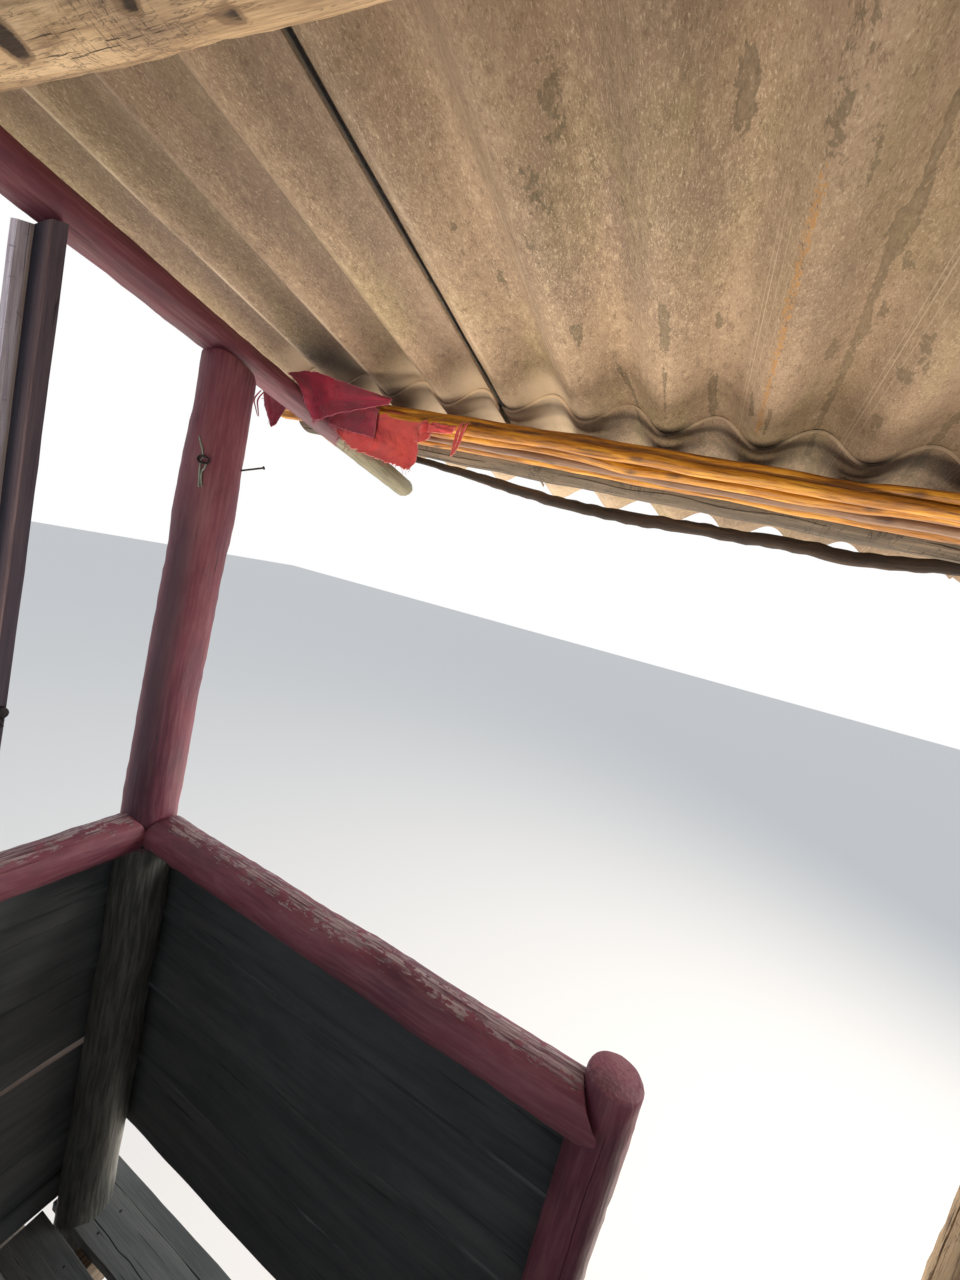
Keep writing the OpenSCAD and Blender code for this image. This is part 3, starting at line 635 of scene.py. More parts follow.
def log_cracks(rng, s, radius, columns, count, cracked, width):
    """The angles of a log's points, gathered in threes on wandering cracks, and how deep these are"""
    base = TAU * np.arange(columns) / columns
    turned = np.tile(base, (len(s), 1))
    deep = np.zeros_like(turned)
    controls = []
    for k in range(count):
        column = int((k + rng.uniform(-0.3, 0.3)) * columns / count) % columns
        depth = np.zeros(len(s))
        at = rng.uniform(-0.2, 0.3)
        while at < s[-1, 0]:
            run = rng.uniform(0.12, 0.7)
            if rng.random() < cracked * 1.6:
                depth += window(s[:, 0], at + run / 2, run / 2) ** 0.5 * rng.uniform(0.4, 1)
            at += run + rng.uniform(0.03, 0.3)
        wander = 0.05 * drift(rng, s[:, 0], 3, 0.15, 0.9) + rng.uniform(-0.1, 0.1) * s[:, 0]
        deep[:, column] = np.clip(depth, 0, 1)
        controls.append((column, base[column] + wander))
    half = width / radius[:, 0]
    for i in range(len(s)):
        index = np.array([column + k for column, _ in controls for k in (-1, 0, 1)])
        angle = np.array([path[i] + half[i] * k for _, path in controls for k in (-1, 0, 1)])
        order = np.argsort(index)
        index, angle = index[order], angle[order]
        index = np.concatenate([index - columns, index, index + columns])
        angle = np.concatenate([angle - TAU, angle, angle + TAU])
        turned[i] = np.interp(np.arange(columns), index, angle)
    return turned, deep


def coped(x, radius):
    """How much shorter an end is that is hollowed to fit an upright log"""
    return np.sqrt(np.maximum(radius ** 2 - x ** 2, 0)) - COPE_SINK if radius else 0


def log(piece, start, end, d_start, d_end, seed, columns=40, up=UP, bow=0.003, cracks=6, crack_w=0.0011,
        crack_d=0.007, cracked=0.5, knots=3, hewn=0, bevel=0.007, bends=(), cope_start=0, cope_end=0,
        fall=0, extra=None, spots=(), **marks):
    """Adds an irregular log: bowed, knotty, hewn flat in places, with cracks along it.
    cope_start and cope_end are the radii of upright logs that its ends are fitted to;
    fall is the slope of a sawn end that drops towards its upper side;
    spots are knots at given places: along the log, degrees round it, size;
    marks are rules for the values that its finish reads."""
    rng = np.random.default_rng(seed)
    length, along, side, top = frame_of(start, end, up)
    s, inset = ring_places(length, LOG_STEP, bevel)
    share = s / length
    radius = (d_start + (d_end - d_start) * share) / 2
    turned, deep = log_cracks(rng, s, radius, columns, cracks, cracked, crack_w)
    r = radius * (1 + LOG_ROUGH * ripple(rng, s, turned, 9, (0.25, 1.6), (0, 3)))
    r = r + LOG_FINE * ripple(rng, s, turned, 10, (0.02, 0.14), (2, 11))
    knot = np.zeros_like(r)
    places = [(rng.uniform(0.08, 0.92) * length, rng.uniform(0, TAU), rng.uniform(0.010, 0.019))
              for _ in range(knots)]
    places += [(at, math.radians(turn), size) for at, turn, size in spots]
    for at, angle, size in places:
        away = np.hypot((s - at) * 0.8, turn_from(turned, angle) * radius) / size
        r = r + rng.uniform(0.003, 0.006) * np.exp(-0.5 * (away / 1.5) ** 2)
        r = r - KNOT_PIT * np.exp(-2 * away ** 2)
        knot = np.maximum(knot, np.exp(-0.8 * away ** 2))
    for _ in range(hewn):
        at, angle, run = rng.uniform(0, 1) * length, rng.uniform(0, TAU), rng.uniform(0.05, 0.22)
        flat = radius * (1 - rng.uniform(0.03, 0.075) * window(s, at, run))
        facing = np.cos(turned - angle)
        r = np.where(facing > 0.5, np.minimum(r, flat / np.maximum(facing, 0.5)), r)
    if extra is not None:
        r = r + extra(s, turned)
    r = r - inset - crack_d * deep
    arch = np.sin(math.pi * share)
    lean = rng.uniform(0, TAU)
    x_off = (bow * math.cos(lean) + LOG_SWAY * drift(rng, s, 4, 0.2, 0.9)) * arch
    y_off = (bow * math.sin(lean) + LOG_SWAY * drift(rng, s, 4, 0.2, 0.9)) * arch
    for at, reach, x_by in bends:
        x_off = x_off + x_by * np.exp(-(((s - at) / reach) ** 2))
    x, y = r * np.cos(turned), r * np.sin(turned)
    run = np.broadcast_to(s, x.shape).copy()
    run += coped(x, cope_start) * near_start(s, 0, COPE_RUN)
    run -= coped(x, cope_end) * near_end(s, length, COPE_RUN)
    run -= fall * (y + y_off) * near_end(s, length, COPE_RUN)
    points = (np.array(start) + run[..., None] * along
              + (x + x_off)[..., None] * side + (y + y_off)[..., None] * top)
    grain = np.stack([x, y, run + rng.uniform(0, 20)], -1)
    values = {key: rule(run, turned) * np.ones_like(x) for key, rule in marks.items()}
    piece.add_tube(points, grain, crack=deep, knot=knot, **values)


def log_piece(name, finish, *line, **more):
    """A node's own piece, made of one log"""
    piece = Piece(name, finish)
    log(piece, *line, **more)
    piece.make()


PLANK_STEP = 0.04
PLANK_BEVEL = 0.002
PLANK_FINE = 0.0003
PLANK_END = 0.03
PLANK_END_WEAR = 0.0015
SPLIT_HALF = 0.0010
SPLIT_DEPTH = 0.006


def section_of(width, thick, columns):
    """A plank's outline with eased edges, counter-clockwise: places across and through it"""
    half, deep = width / 2, thick / 2
    across = np.linspace(-half + PLANK_BEVEL, half - PLANK_BEVEL, columns)
    lower = [(u, -deep) for u in across]
    right = [(half, -deep + PLANK_BEVEL), (half, deep - PLANK_BEVEL)]
    upper = [(u, deep) for u in across[::-1]]
    left = [(-half, deep - PLANK_BEVEL), (-half, -deep + PLANK_BEVEL)]
    return np.array(lower + right + upper + left)


def plank_splits(rng, s, u, v, columns):
    """Two splits from a plank's ends, each on both faces; gives how deep they are"""
    crack = np.zeros_like(u)
    for _ in range(2):
        k = int(rng.integers(2, columns - 2))
        other = 2 * columns + 1 - k
        from_start = rng.random() < 0.5
        run = rng.uniform(0.15, 0.5)
        depth = np.clip(1 - (s[:, 0] if from_start else s[-1, 0] - s[:, 0]) / run, 0, 1) ** 0.5
        path = u[:, k] + 0.002 * drift(rng, s[:, 0], 3, 0.1, 0.5)
        for i, sign in ((k, 1), (other, -1)):
            for by in (-1, 0, 1):
                u[:, i + by] = path + sign * by * SPLIT_HALF
            v[:, i] += sign * SPLIT_DEPTH * depth
            crack[:, i] = depth
    return crack


def board(piece, start, end, width, thick, seed, up=UP, columns=9, wavy=0.0018, cup=0.0015, tone=None,
          section=None, warp=0.002, end_fall=0, **marks):
    """Adds a weathered plank from start to end, width across, thick along up.
    end_fall is how much shorter its lower face is at the end; marks are values round its outline."""
    rng = np.random.default_rng(seed)
    length, along, side, top = frame_of(start, end, up)
    s, _ = ring_places(length, PLANK_STEP, PLANK_BEVEL)
    outline = section_of(width, thick, columns) if section is None else section
    u = np.tile(outline[:, 0], (len(s), 1))
    v = np.tile(outline[:, 1], (len(s), 1))
    crack = plank_splits(rng, s, u, v, columns) if section is None else 0 * u
    edge = np.sign(u) * (np.abs(u) / (width / 2)) ** 4
    u = u + edge * wavy * (ripple(rng, s, np.sign(u) * 1.3, 5, (0.15, 1.1), (0, 2)) - 0.6)
    v = v + cup * (u / width * 2) ** 2 * drift(rng, s, 2, 1.0, 3.0)
    v = v + warp * drift(rng, s, 3, 0.7, 2.5) * np.sin(math.pi * s / length)
    v = v + PLANK_FINE * ripple(rng, s, u * 60, 6, (0.05, 0.4), (1, 4))
    ends = np.clip(1 - np.minimum(s, length - s) / PLANK_END, 0, 1)
    worn = PLANK_END_WEAR * (1 + ripple(rng, 0 * s, u * 40, 4, (1, 2), (1, 3)))
    run = s + np.where(s < length / 2, 1, -1) * ends * worn
    run = run - end_fall * (0.5 - v / thick) * near_end(s, length, PLANK_END)
    points = (np.array(start) + run[..., None] * along + u[..., None] * side + v[..., None] * top)
    grain = np.stack([u + rng.uniform(0, 9), v + rng.uniform(0, 9), run + rng.uniform(0, 20)], -1)
    tone = rng.uniform(0, 1) if tone is None else tone
    marks = {key: np.asarray(value) + 0 * u for key, value in marks.items()}
    piece.add_tube(points, grain, tone=tone, crack=crack, **marks)


make_camera()

# Posts, newel and rails

# Cracks that old paint has nearly filled
PAINTED = {"cracks": 4, "cracked": 0.22, "crack_w": 0.0006, "crack_d": 0.0030}
RAIL_Z = middle("left_rail").z
PAINT_FOOT = RAIL_Z - 0.035
# The front left post's bend, and its swell under the top with a waist over that: height, reach, how far
POST_BEND = (4.2, 0.30, 0.009)
POST_SWELL = ((4.70, 0.08, 0.0045), (4.93, 0.06, -0.0015))
# The darker blue-grey band on it: degrees round the post, how wide in radians, its top and how dark it is
DARK_BAND_TURN = math.radians(250)
DARK_BAND_HALF = 0.55
DARK_BAND_TOP = 4.72
DARK_BAND_STRENGTH = 0.35
left_x, front_y = middle("front_left_post").xy
right_x, rear_y = middle("rear_right_post").xy


def post_d(height):
    return POST_D_FOOT + (POST_D_TOP - POST_D_FOOT) * height / ROOF_ORIGIN.z


def under_eave(s, angle):
    return sum(out * np.exp(-(((s - at) / reach) ** 2)) for at, reach, out in POST_SWELL)


def below(place, limit, blur):
    """1 where a place is below a limit and 0 where it is over it, with a soft edge between"""
    return 1 / (1 + np.exp((place - limit) / blur))


def unpainted(run, angle):
    """1 under the rails, where the posts were never painted"""
    return below(run, PAINT_FOOT, 0.008)


def dark_band_inside(run, angle):
    """A darker blue-grey band down the side that faces into the lookout, under the hook"""
    turn = turn_from(angle, DARK_BAND_TURN)
    band = DARK_BAND_STRENGTH * np.exp(-((turn / DARK_BAND_HALF) ** 2)) * below(run, DARK_BAND_TOP, 0.06)
    return np.maximum(band, unpainted(run, angle))


def worn_on_top(run, angle):
    return 1.3 * np.clip(np.sin(angle), 0, 1) ** 2


POSTS = ("front_left_post", "front_right_post", "rear_left_post", "rear_right_post")


def posts():
    for number, name in enumerate(POSTS):
        x, y = middle(name).xy
        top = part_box(name)[1].z
        more = {"dirt_and_shade": unpainted}
        if name == "front_left_post":
            more = {"bends": [POST_BEND], "dirt_and_shade": dark_band_inside, "extra": under_eave}
        log_piece(name, "red_paint", (x, y, 0), (x, y, top - POST_TOP_DROP), POST_D_FOOT, post_d(top),
                  seed=10 + number, columns=48, up=FRONT, knots=5, bow=0.004, bevel=0.010,
                  fall=POST_TOP_SLOPE, **PAINTED, **more)


def rails():
    """Rails fitted to the posts, and the newel that the short front rail ends at"""
    rail_d, newel_d = extent("left_rail").x, extent("newel_post").x
    cope = post_d(RAIL_Z) / 2
    newel_x, newel_y = middle("newel_post").x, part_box("newel_post")[0].y + newel_d / 2
    for name, x, y, to_x, to_y, to_radius, knots, hewn, seed in (
            ("left_rail", left_x, rear_y, left_x, front_y, cope, 3, 4, 20),
            ("right_rail", right_x, rear_y, right_x, front_y, cope, 3, 4, 21),
            ("rear_rail", left_x, rear_y, right_x, rear_y, cope, 3, 4, 23),
            ("front_rail", left_x, front_y, newel_x, front_y, newel_d / 2, 2, 3, 24)):
        log_piece(name, "red_paint", (x, y, RAIL_Z), (to_x, to_y, RAIL_Z), rail_d, rail_d, seed, knots=knots,
                  hewn=hewn, cope_start=cope, cope_end=to_radius, wear=worn_on_top, **PAINTED)
    foot, top = (box.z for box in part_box("newel_post"))
    log_piece("newel_post", "red_paint", (newel_x, newel_y, foot), (newel_x, newel_y, top), newel_d, newel_d,
              seed=25, up=FRONT, knots=2, **PAINTED)
    return newel_x


posts()
newel_x = rails()

# Rafters, purlins, eave pole and flag poles


# The rafters' bare nose, how far its edge wavers, and where down the roof they start to be thinned
# and are thinned in full; then the same along the front purlin, from its left end
NOSE_RUN = 0.36
NOSE_WAVER = 0.015
RAFTER_THIN_FROM = 0.78
RAFTER_THIN_FULL = 0.86
PURLIN_THIN_FROM = 0.55
PURLIN_THIN_FULL = 0.15


def bare_nose(length_of_paint):
    """A rule that is 1 past the paint's end, which wavers round the log"""
    def rule(run, angle):
        return below(length_of_paint - NOSE_WAVER * np.cos(2 * angle + 1), run, 0.006)
    return rule


def thinned(full, none):
    """A rule that takes wood off a log's underside, all of it at one place and none at another"""
    def rule(s, angle):
        return -HEWN_BY * np.clip((s - none) / (full - none), 0, 1) * np.clip(-np.sin(angle), 0, 1)
    return rule


def rafters():
    for number, name in enumerate(("left_rafter", "right_rafter")):
        low, high = roof_box(name)
        x = (low.x + high.x) / 2
        d_rear = high.z - low.z
        start = in_roof(x, low.y, high.z - d_rear / 2)
        end = in_roof(x, high.y, high.z - RAFTER_D_FRONT / 2)
        log_piece(name, "red_paint", start, end, d_rear, RAFTER_D_FRONT, 30 + number, knots=5, hewn=3,
                  bevel=0.016, bare=bare_nose(high.y - low.y - NOSE_RUN),
                  extra=thinned(RAFTER_THIN_FULL - low.y, RAFTER_THIN_FROM - low.y), **PAINTED)


# Each purlin's finish, hewn flats, cracks and their width; every other one has its butt at the right
PURLINS = {"front_purlin": ("eave_wood", 14, 9, 0.0016), "second_purlin": ("tan_wood", 10, 2, 0.0006),
           "third_purlin": ("tan_wood", 8, 2, 0.0006), "rear_purlin": ("grey_wood", 8, 2, 0.0006)}
# Dark knots on the second purlin's underside: place across the roof, degrees round the log, size
KNOTS = ((-0.735, -106, 0.019), (-0.430, -78, 0.013), (-0.528, -112, 0.014))


def make_purlins():
    for number, (name, (finish, hewn, cracks, crack_w)) in enumerate(PURLINS.items()):
        low, high = roof_box(name)
        butt_x, tip_x = (high.x, low.x) if number % 2 else (low.x, high.x)
        butt = in_roof(butt_x, roof_y(name), -PURLIN_D_BUTT / 2)
        tip = in_roof(tip_x, roof_y(name), -PURLIN_D_TIP / 2)
        more = {}
        if name == "front_purlin":
            more = {"extra": thinned(PURLIN_THIN_FULL, PURLIN_THIN_FROM)}
        if name == "second_purlin":
            more = {"spots": [(high.x - at, turn, size) for at, turn, size in KNOTS]}
        log_piece(name, finish, butt, tip, PURLIN_D_BUTT, PURLIN_D_TIP, 40 + number, cracks=cracks,
                  cracked=0.6, crack_w=crack_w, crack_d=0.008, knots=8, hewn=hewn, bow=0.002, bevel=0.010,
                  **more)


rafters()
make_purlins()


def runs(points):
    """How far along a line each of its points lies"""
    return np.concatenate([[0], np.cumsum(np.linalg.norm(np.diff(points, axis=0), axis=1))])


def path_tube(piece, path, radius, seed=0, columns=8, rough=0.0, tone=0.0, knots=0):
    """Adds a thin pole, thread or wire along a list of points"""
    rng = np.random.default_rng(seed)
    path = np.asarray(path, float)
    ahead = np.gradient(path, axis=0)
    ahead /= np.linalg.norm(ahead, axis=1)[:, None]
    side = np.cross(ahead, np.array(UP))
    side /= np.linalg.norm(side, axis=1)[:, None]
    top = np.cross(side, ahead)
    s = runs(path)[:, None]
    angle = (TAU * np.arange(columns) / columns)[None, :]
    radius = np.broadcast_to(radius, len(path))[:, None]
    r = radius * (1 + rough * ripple(rng, s, angle, 8, (0.05, 0.6), (0, 3)))
    knot = np.zeros_like(r)
    for _ in range(knots):
        at, turn = rng.uniform(0.03, 0.97) * s[-1, 0], rng.uniform(0, TAU)
        away = np.hypot((s - at) * 0.35, turn_from(angle, turn) * r) / 0.006
        r = r + 0.0018 * np.exp(-0.5 * (away / 1.6) ** 2)
        knot = np.maximum(knot, 0.7 * np.exp(-away ** 2))
    ends = np.minimum(s, s[-1] - s)
    r = r * np.clip(0.86 + ends / 0.008 * 0.14, 0.86, 1)
    x, y = r * np.cos(angle), r * np.sin(angle)
    points = path[:, None, :] + x[..., None] * side[:, None, :] + y[..., None] * top[:, None, :]
    grain = np.stack([x, y, s + rng.uniform(0, 20) + 0 * x], -1)
    piece.add_tube(points, grain, tone=tone, knot=knot)


def smooth_line(points, count):
    """A smooth line through points, with as many places on it as are asked for"""
    points = np.asarray(points, float)
    t = np.linspace(0, len(points) - 1, count)
    i = np.minimum(t.astype(int), len(points) - 2)
    f = (t - i)[:, None]
    before, after = points[np.maximum(i - 1, 0)], points[np.minimum(i + 2, len(points) - 1)]
    a, b = points[i], points[i + 1]
    curve = 2 * before - 5 * a + 4 * b - after + f * (3 * (a - b) + after - before)
    return a + 0.5 * f * (b - before + f * curve)


def pole_path(points):
    """Points in the roof's plane, joined and set close together, and how far along each lies"""
    run = runs(points)
    at = np.linspace(0, run[-1], round(run[-1] / 0.015))
    return np.stack([np.interp(at, run, points[:, k]) for k in range(3)], -1), at


# How far the eave pole departs from a plain bow, and its thickness: place across, by, share
EAVE_POLE_BY = ((-1.02, 0), (-0.85, -0.005), (-0.60, -0.007), (-0.36, -0.005), (-0.23, 0), (-0.08, 0.006),
                (0.07, 0.005), (0.20, -0.002), (0.32, -0.011), (0.43, -0.005), (0.55, 0.002), (1.15, 0))
EAVE_POLE_SHARE = ((-1.02, 0.60), (-0.85, 0.68), (-0.45, 1.0), (0.60, 1.0), (1.15, 0.8))


def eave_pole():
    points = roof_points("eave_pole")
    places = np.unique(np.round(points[:, 0], 3))
    line = np.array([points[np.abs(points[:, 0] - x) < 0.002].mean(0) for x in places])
    path, at = pole_path(line)
    rng = np.random.default_rng(51)
    path[:, 1] += 0.004 * drift(rng, at, 4, 0.2, 0.9)
    path[:, 2] += 0.0012 * drift(rng, at, 4, 0.10, 0.4) - 0.0015
    by = smooth_line(EAVE_POLE_BY, 90)
    path[:, 2] += np.interp(path[:, 0], by[:, 0], by[:, 1])
    radius = np.ptp(points[:, 1]) / 2 * np.interp(path[:, 0], *zip(*EAVE_POLE_SHARE))
    piece = Piece("eave_pole", "pole_wood")
    path_tube(piece, [in_roof(*p) for p in path], radius, seed=52, columns=18, rough=0.10, knots=14)
    piece.make()


# The flag poles: radius, tone, row behind the purlin, lift, how far over the posts at the left and right,
# and the way along the roof: place across it and down it, and how high over the groove
FLAG_POLE_PITCH = 0.028
FLAG_POLE_OFF = 0.0615
FLAG_POLE_GAP = 0.0004
FLAG_POLE_TAPER = 0.12
FLAG_POLES = (
    (0.0122, 0.1, 0, 0, 0.255, 0.180,
     ((-1.0, 0.000, 0), (-0.4, 0.002, 0), (0.2, 0.004, 0), (1.0, 0.000, 0))),
    (0.0095, 1.0, 1, 0, 0.170, 0.245,
     ((-1.0, 0.002, 0), (-0.4, 0.003, 0), (-0.1, 0.009, 0), (0.3, 0.006, 0), (1.0, 0.003, 0))),
    (0.0112, 0.0, 2, 0, 0.205, 0.090,
     ((-1.1, 0.002, 0), (-0.54, -0.002, 0), (-0.31, -0.010, 0), (-0.23, 0.003, 0), (-0.14, 0.015, 0),
      (0.06, 0.010, 0), (0.23, 0.007, 0), (0.37, -0.008, 0), (1.0, -0.004, 0))),
    (0.0118, 0.2, 3, 0, 0.060, 0.150,
     ((-1.0, -0.001, 0), (-0.5, -0.007, 0), (-0.3, -0.011, 0), (0.1, -0.001, 0), (1.0, 0.000, 0))),
    (0.0125, 0.0, 2.5, 0.0212, -0.110, 0.225,
     ((-0.81, -0.020, 0.001), (-0.72, -0.008, 0), (-0.5, -0.005, 0.002), (0.05, -0.003, 0), (0.22, 0.005, 0),
      (0.36, -0.010, 0.002), (1.1, -0.004, 0))),
)


def flag_poles():
    rest = roof_box("left_rafter")[1].z
    piece = Piece("flag_poles", "varnished_wood")
    for k, (radius, tone, row, lift, left_over, right_over, way) in enumerate(FLAG_POLES):
        y = roof_y("front_purlin") - FLAG_POLE_OFF - row * FLAG_POLE_PITCH
        z = rest + radius + FLAG_POLE_GAP + lift
        ends = (left_x - left_over, right_x + right_over)
        inner = [(x, y + by, z + rise) for x, by, rise in way if ends[0] + 0.02 < x < ends[1] - 0.02]
        line = [(ends[0], *inner[0][1:])] + inner + [(ends[1], *inner[-1][1:])]
        path, at = pole_path(smooth_line(line, 60))
        rng = np.random.default_rng(60 + k)
        path[:, 1] += 0.0012 * drift(rng, at, 4, 0.12, 0.5)
        path[:, 2] += 0.0008 * drift(rng, at, 4, 0.12, 0.5)
        path_tube(piece, [in_roof(*p) for p in path], radius * (1 - FLAG_POLE_TAPER * at / at[-1]),
                  seed=70 + k, columns=20, rough=0.035, tone=tone, knots=9)
    piece.make()


eave_pole()
flag_poles()

# Flags

CLOTH_T = 0.0009
CLOTH_SHARP = 80
FRAYED = 0.006
# How finely a flag's own surface is worked out before it is torn and creased, and how far
# from the count of its rows or columns a place stays, so that there is always a next one
FINE_ACROSS = 80
FINE_DOWN = 60
INSIDE = 1.001


def torn_edges(rng, u, v, ragged):
    """How much is torn off at the left, the right, the top and the lower edge"""
    for k, amount in enumerate(ragged):
        place = v if k < 2 else u
        tear = ripple(rng, 0 * place, place * 11, 8, (1, 2), (1, 6))
        tear = tear + 0.8 * ripple(rng, 0 * place, place * 60, 6, (1, 2), (1, 5))
        yield amount * np.clip(tear * 0.5 + 0.7, 0, 2)


def cloth_grid(rows, across, down, seed, crease, ragged):
    """A grid of points on a creased and torn cloth that hangs through rows of points"""
    rng = np.random.default_rng(seed)
    fine = np.array([smooth_line(row, FINE_ACROSS) for row in rows])
    fine = np.stack([smooth_line(fine[:, j], FINE_DOWN) for j in range(FINE_ACROSS)], 1)
    u, v = np.meshgrid(np.linspace(0, 1, across), np.linspace(0, 1, down))
    left, right, top, foot = torn_edges(rng, u, v, ragged)
    a = np.clip(top * (1 - v) + v * (1 - foot), 0, 1) * (FINE_DOWN - INSIDE)
    b = np.clip(left * (1 - u) + u * (1 - right), 0, 1) * (FINE_ACROSS - INSIDE)
    i, j = a.astype(int), b.astype(int)
    fa, fb = (a - i)[..., None], (b - j)[..., None]
    grid = ((fine[i, j] * (1 - fb) + fine[i, j + 1] * fb) * (1 - fa)
            + (fine[i + 1, j] * (1 - fb) + fine[i + 1, j + 1] * fb) * fa)
    fold = np.zeros_like(u)
    for _ in range(9):
        turn, length = rng.uniform(0, math.pi), rng.uniform(0.15, 0.7)
        wave_at = (u * math.cos(turn) + v * math.sin(turn)) / length + rng.uniform(0, 1)
        fold += (0.5 - np.abs(np.sin(math.pi * wave_at))) * rng.uniform(0.3, 1) * length
    held = np.clip(v * 4, 0.15, 1)
    return grid + normals_of(grid) * (crease * fold * held)[..., None], u, v


def normals_of(grid):
    normal = np.cross(np.gradient(grid, axis=1), np.gradient(grid, axis=0))
    return normal / np.maximum(np.linalg.norm(normal, axis=2), 1e-9)[..., None]


def cloth(piece, rows, seed, across, down, ragged, crease=0.004):
    """Adds a sheet of cloth to a piece; gives its points and its area"""
    grid, u, v = cloth_grid(rows, across, down, seed, crease, ragged)
    normal = normals_of(grid)
    sides = np.stack([grid + normal * CLOTH_T / 2, grid - normal * CLOTH_T / 2])
    count = across * down
    faces = []
    for i in range(down - 1):
        for j in range(across - 1):
            a, b, c, d = i * across + j, i * across + j + 1, (i + 1) * across + j + 1, (i + 1) * across + j
            faces += [(a, b, c, d), (a + count, d + count, c + count, b + count)]
    border = ([(0, j) for j in range(across - 1)] + [(i, across - 1) for i in range(down - 1)]
              + [(down - 1, j) for j in range(across - 1, 0, -1)] + [(i, 0) for i in range(down - 1, 0, -1)])
    border = [i * across + j for i, j in border]
    for k, a in enumerate(border):
        b = border[(k + 1) % len(border)]
        faces.append((b, a, a + count, b + count))
    size_u = np.linalg.norm(np.diff(grid, axis=1), axis=2).sum(1).mean()
    size_v = np.linalg.norm(np.diff(grid, axis=0), axis=2).sum(0).mean()
    near_edge = np.minimum(np.minimum(u, 1 - u) * size_u, np.minimum(v, 1 - v) * size_v)
    edge = np.clip(1 - near_edge / FRAYED, 0, 1)
    world = np.array([in_roof(*p) for p in sides.reshape(-1, 3)])
    grain = np.stack([u * size_u, 0 * u, v * size_v], -1).reshape(-1, 3)
    piece.add(world, faces, np.concatenate([grain, grain]), edge=np.concatenate([edge, edge]))
    cells = np.cross(np.diff(grid, axis=1)[:-1], np.diff(grid, axis=0)[:, :-1])
    return grid, np.linalg.norm(cells, axis=2).sum()


def fringe(piece, edge_points, seed, length, share):
    """Adds loose threads that hang from a share of an edge's points"""
    rng = np.random.default_rng(seed)
    for point in edge_points:
        if rng.random() > share:
            continue
        run = length * rng.uniform(0.3, 1.4)
        heading = np.array((0, -0.1, -1.0)) + rng.normal(0, 0.55, 3)
        heading /= np.linalg.norm(heading)
        bend = rng.normal(0, 0.25, 3) * run
        t = np.linspace(0, 1, 5)[:, None]
        path = point + heading * run * t + bend * t ** 2
        path_tube(piece, [in_roof(*p) for p in path], rng.uniform(0.00030, 0.00055), columns=4)


# The flags' surfaces as rows of points in the roof's plane, from the pole that they hang on to their foot
LARGE_FLAG = (
    ((-0.880, 1.1095, -0.0695), (-0.760, 1.1095, -0.0695), (-0.648, 1.1095, -0.0700)),
    ((-0.882, 1.0945, -0.080), (-0.760, 1.0945, -0.080), (-0.646, 1.0945, -0.082)),
    ((-0.882, 1.0925, -0.110), (-0.820, 1.0865, -0.112), (-0.760, 1.0925, -0.112), (-0.636, 1.0895, -0.118)),
    ((-0.872, 1.0895, -0.136), (-0.820, 1.0835, -0.150), (-0.745, 1.0895, -0.155), (-0.690, 1.0855, -0.160),
     (-0.618, 1.0915, -0.168)),
    ((-0.868, 1.0835, -0.150), (-0.838, 1.0875, -0.166), (-0.808, 1.0855, -0.184), (-0.752, 1.0895, -0.190),
     (-0.686, 1.0835, -0.203), (-0.630, 1.0915, -0.208)),
)
DARK_FLAG = (
    ((-0.885, 1.0880, -0.068), (-0.820, 1.0885, -0.066), (-0.766, 1.0885, -0.076)),
    ((-0.893, 1.0840, -0.100), (-0.828, 1.0810, -0.104), (-0.759, 1.0850, -0.108)),
    ((-0.900, 1.0820, -0.132), (-0.862, 1.0790, -0.141), (-0.820, 1.0790, -0.146), (-0.746, 1.0830, -0.149)),
)
TIED_FLAG = (
    ((-0.930, 0.950, -0.092), (-0.898, 0.985, -0.060), (-0.860, 1.025, -0.050), (-0.800, 1.040, -0.054),
     (-0.722, 1.068, -0.056)),
    ((-0.899, 0.965, -0.110), (-0.890, 0.995, -0.090), (-0.862, 1.022, -0.082), (-0.806, 1.040, -0.076),
     (-0.722, 1.068, -0.060)),
    ((-0.897, 1.000, -0.135), (-0.884, 1.014, -0.128), (-0.862, 1.026, -0.112), (-0.808, 1.042, -0.094),
     (-0.722, 1.068, -0.064)),
    ((-0.892, 1.025, -0.154), (-0.880, 1.028, -0.156), (-0.850, 1.034, -0.140), (-0.800, 1.044, -0.110),
     (-0.722, 1.068, -0.068)),
)
SMALL_FLAG = (
    ((-1.174, 1.096, -0.070), (-1.120, 1.0935, -0.074), (-1.056, 1.096, -0.072)),
    ((-1.160, 1.094, -0.090), (-1.115, 1.090, -0.094), (-1.056, 1.093, -0.092)),
    ((-1.128, 1.091, -0.128), (-1.100, 1.088, -0.130), (-1.064, 1.091, -0.126)),
    ((-1.094, 1.090, -0.164), (-1.086, 1.089, -0.169), (-1.076, 1.090, -0.160)),
)
STRAP = (
    ((-0.646, 1.0915, -0.080), (-0.628, 1.088, -0.081), (-0.612, 1.0915, -0.082), (-0.596, 1.0875, -0.083)),
    ((-0.644, 1.0900, -0.108), (-0.628, 1.086, -0.110), (-0.612, 1.0900, -0.108), (-0.598, 1.0865, -0.106)),
    ((-0.640, 1.0890, -0.138), (-0.626, 1.086, -0.139), (-0.616, 1.0890, -0.132), (-0.602, 1.0860, -0.122)),
)
STRAP_LOOP = (
    ((-0.612, 1.0900, -0.084), (-0.580, 1.0890, -0.086), (-0.545, 1.0900, -0.083)),
    ((-0.612, 1.0850, -0.096), (-0.580, 1.0840, -0.097), (-0.545, 1.0860, -0.092)),
    ((-0.614, 1.0880, -0.110), (-0.582, 1.0870, -0.108), (-0.550, 1.0890, -0.103)),
)
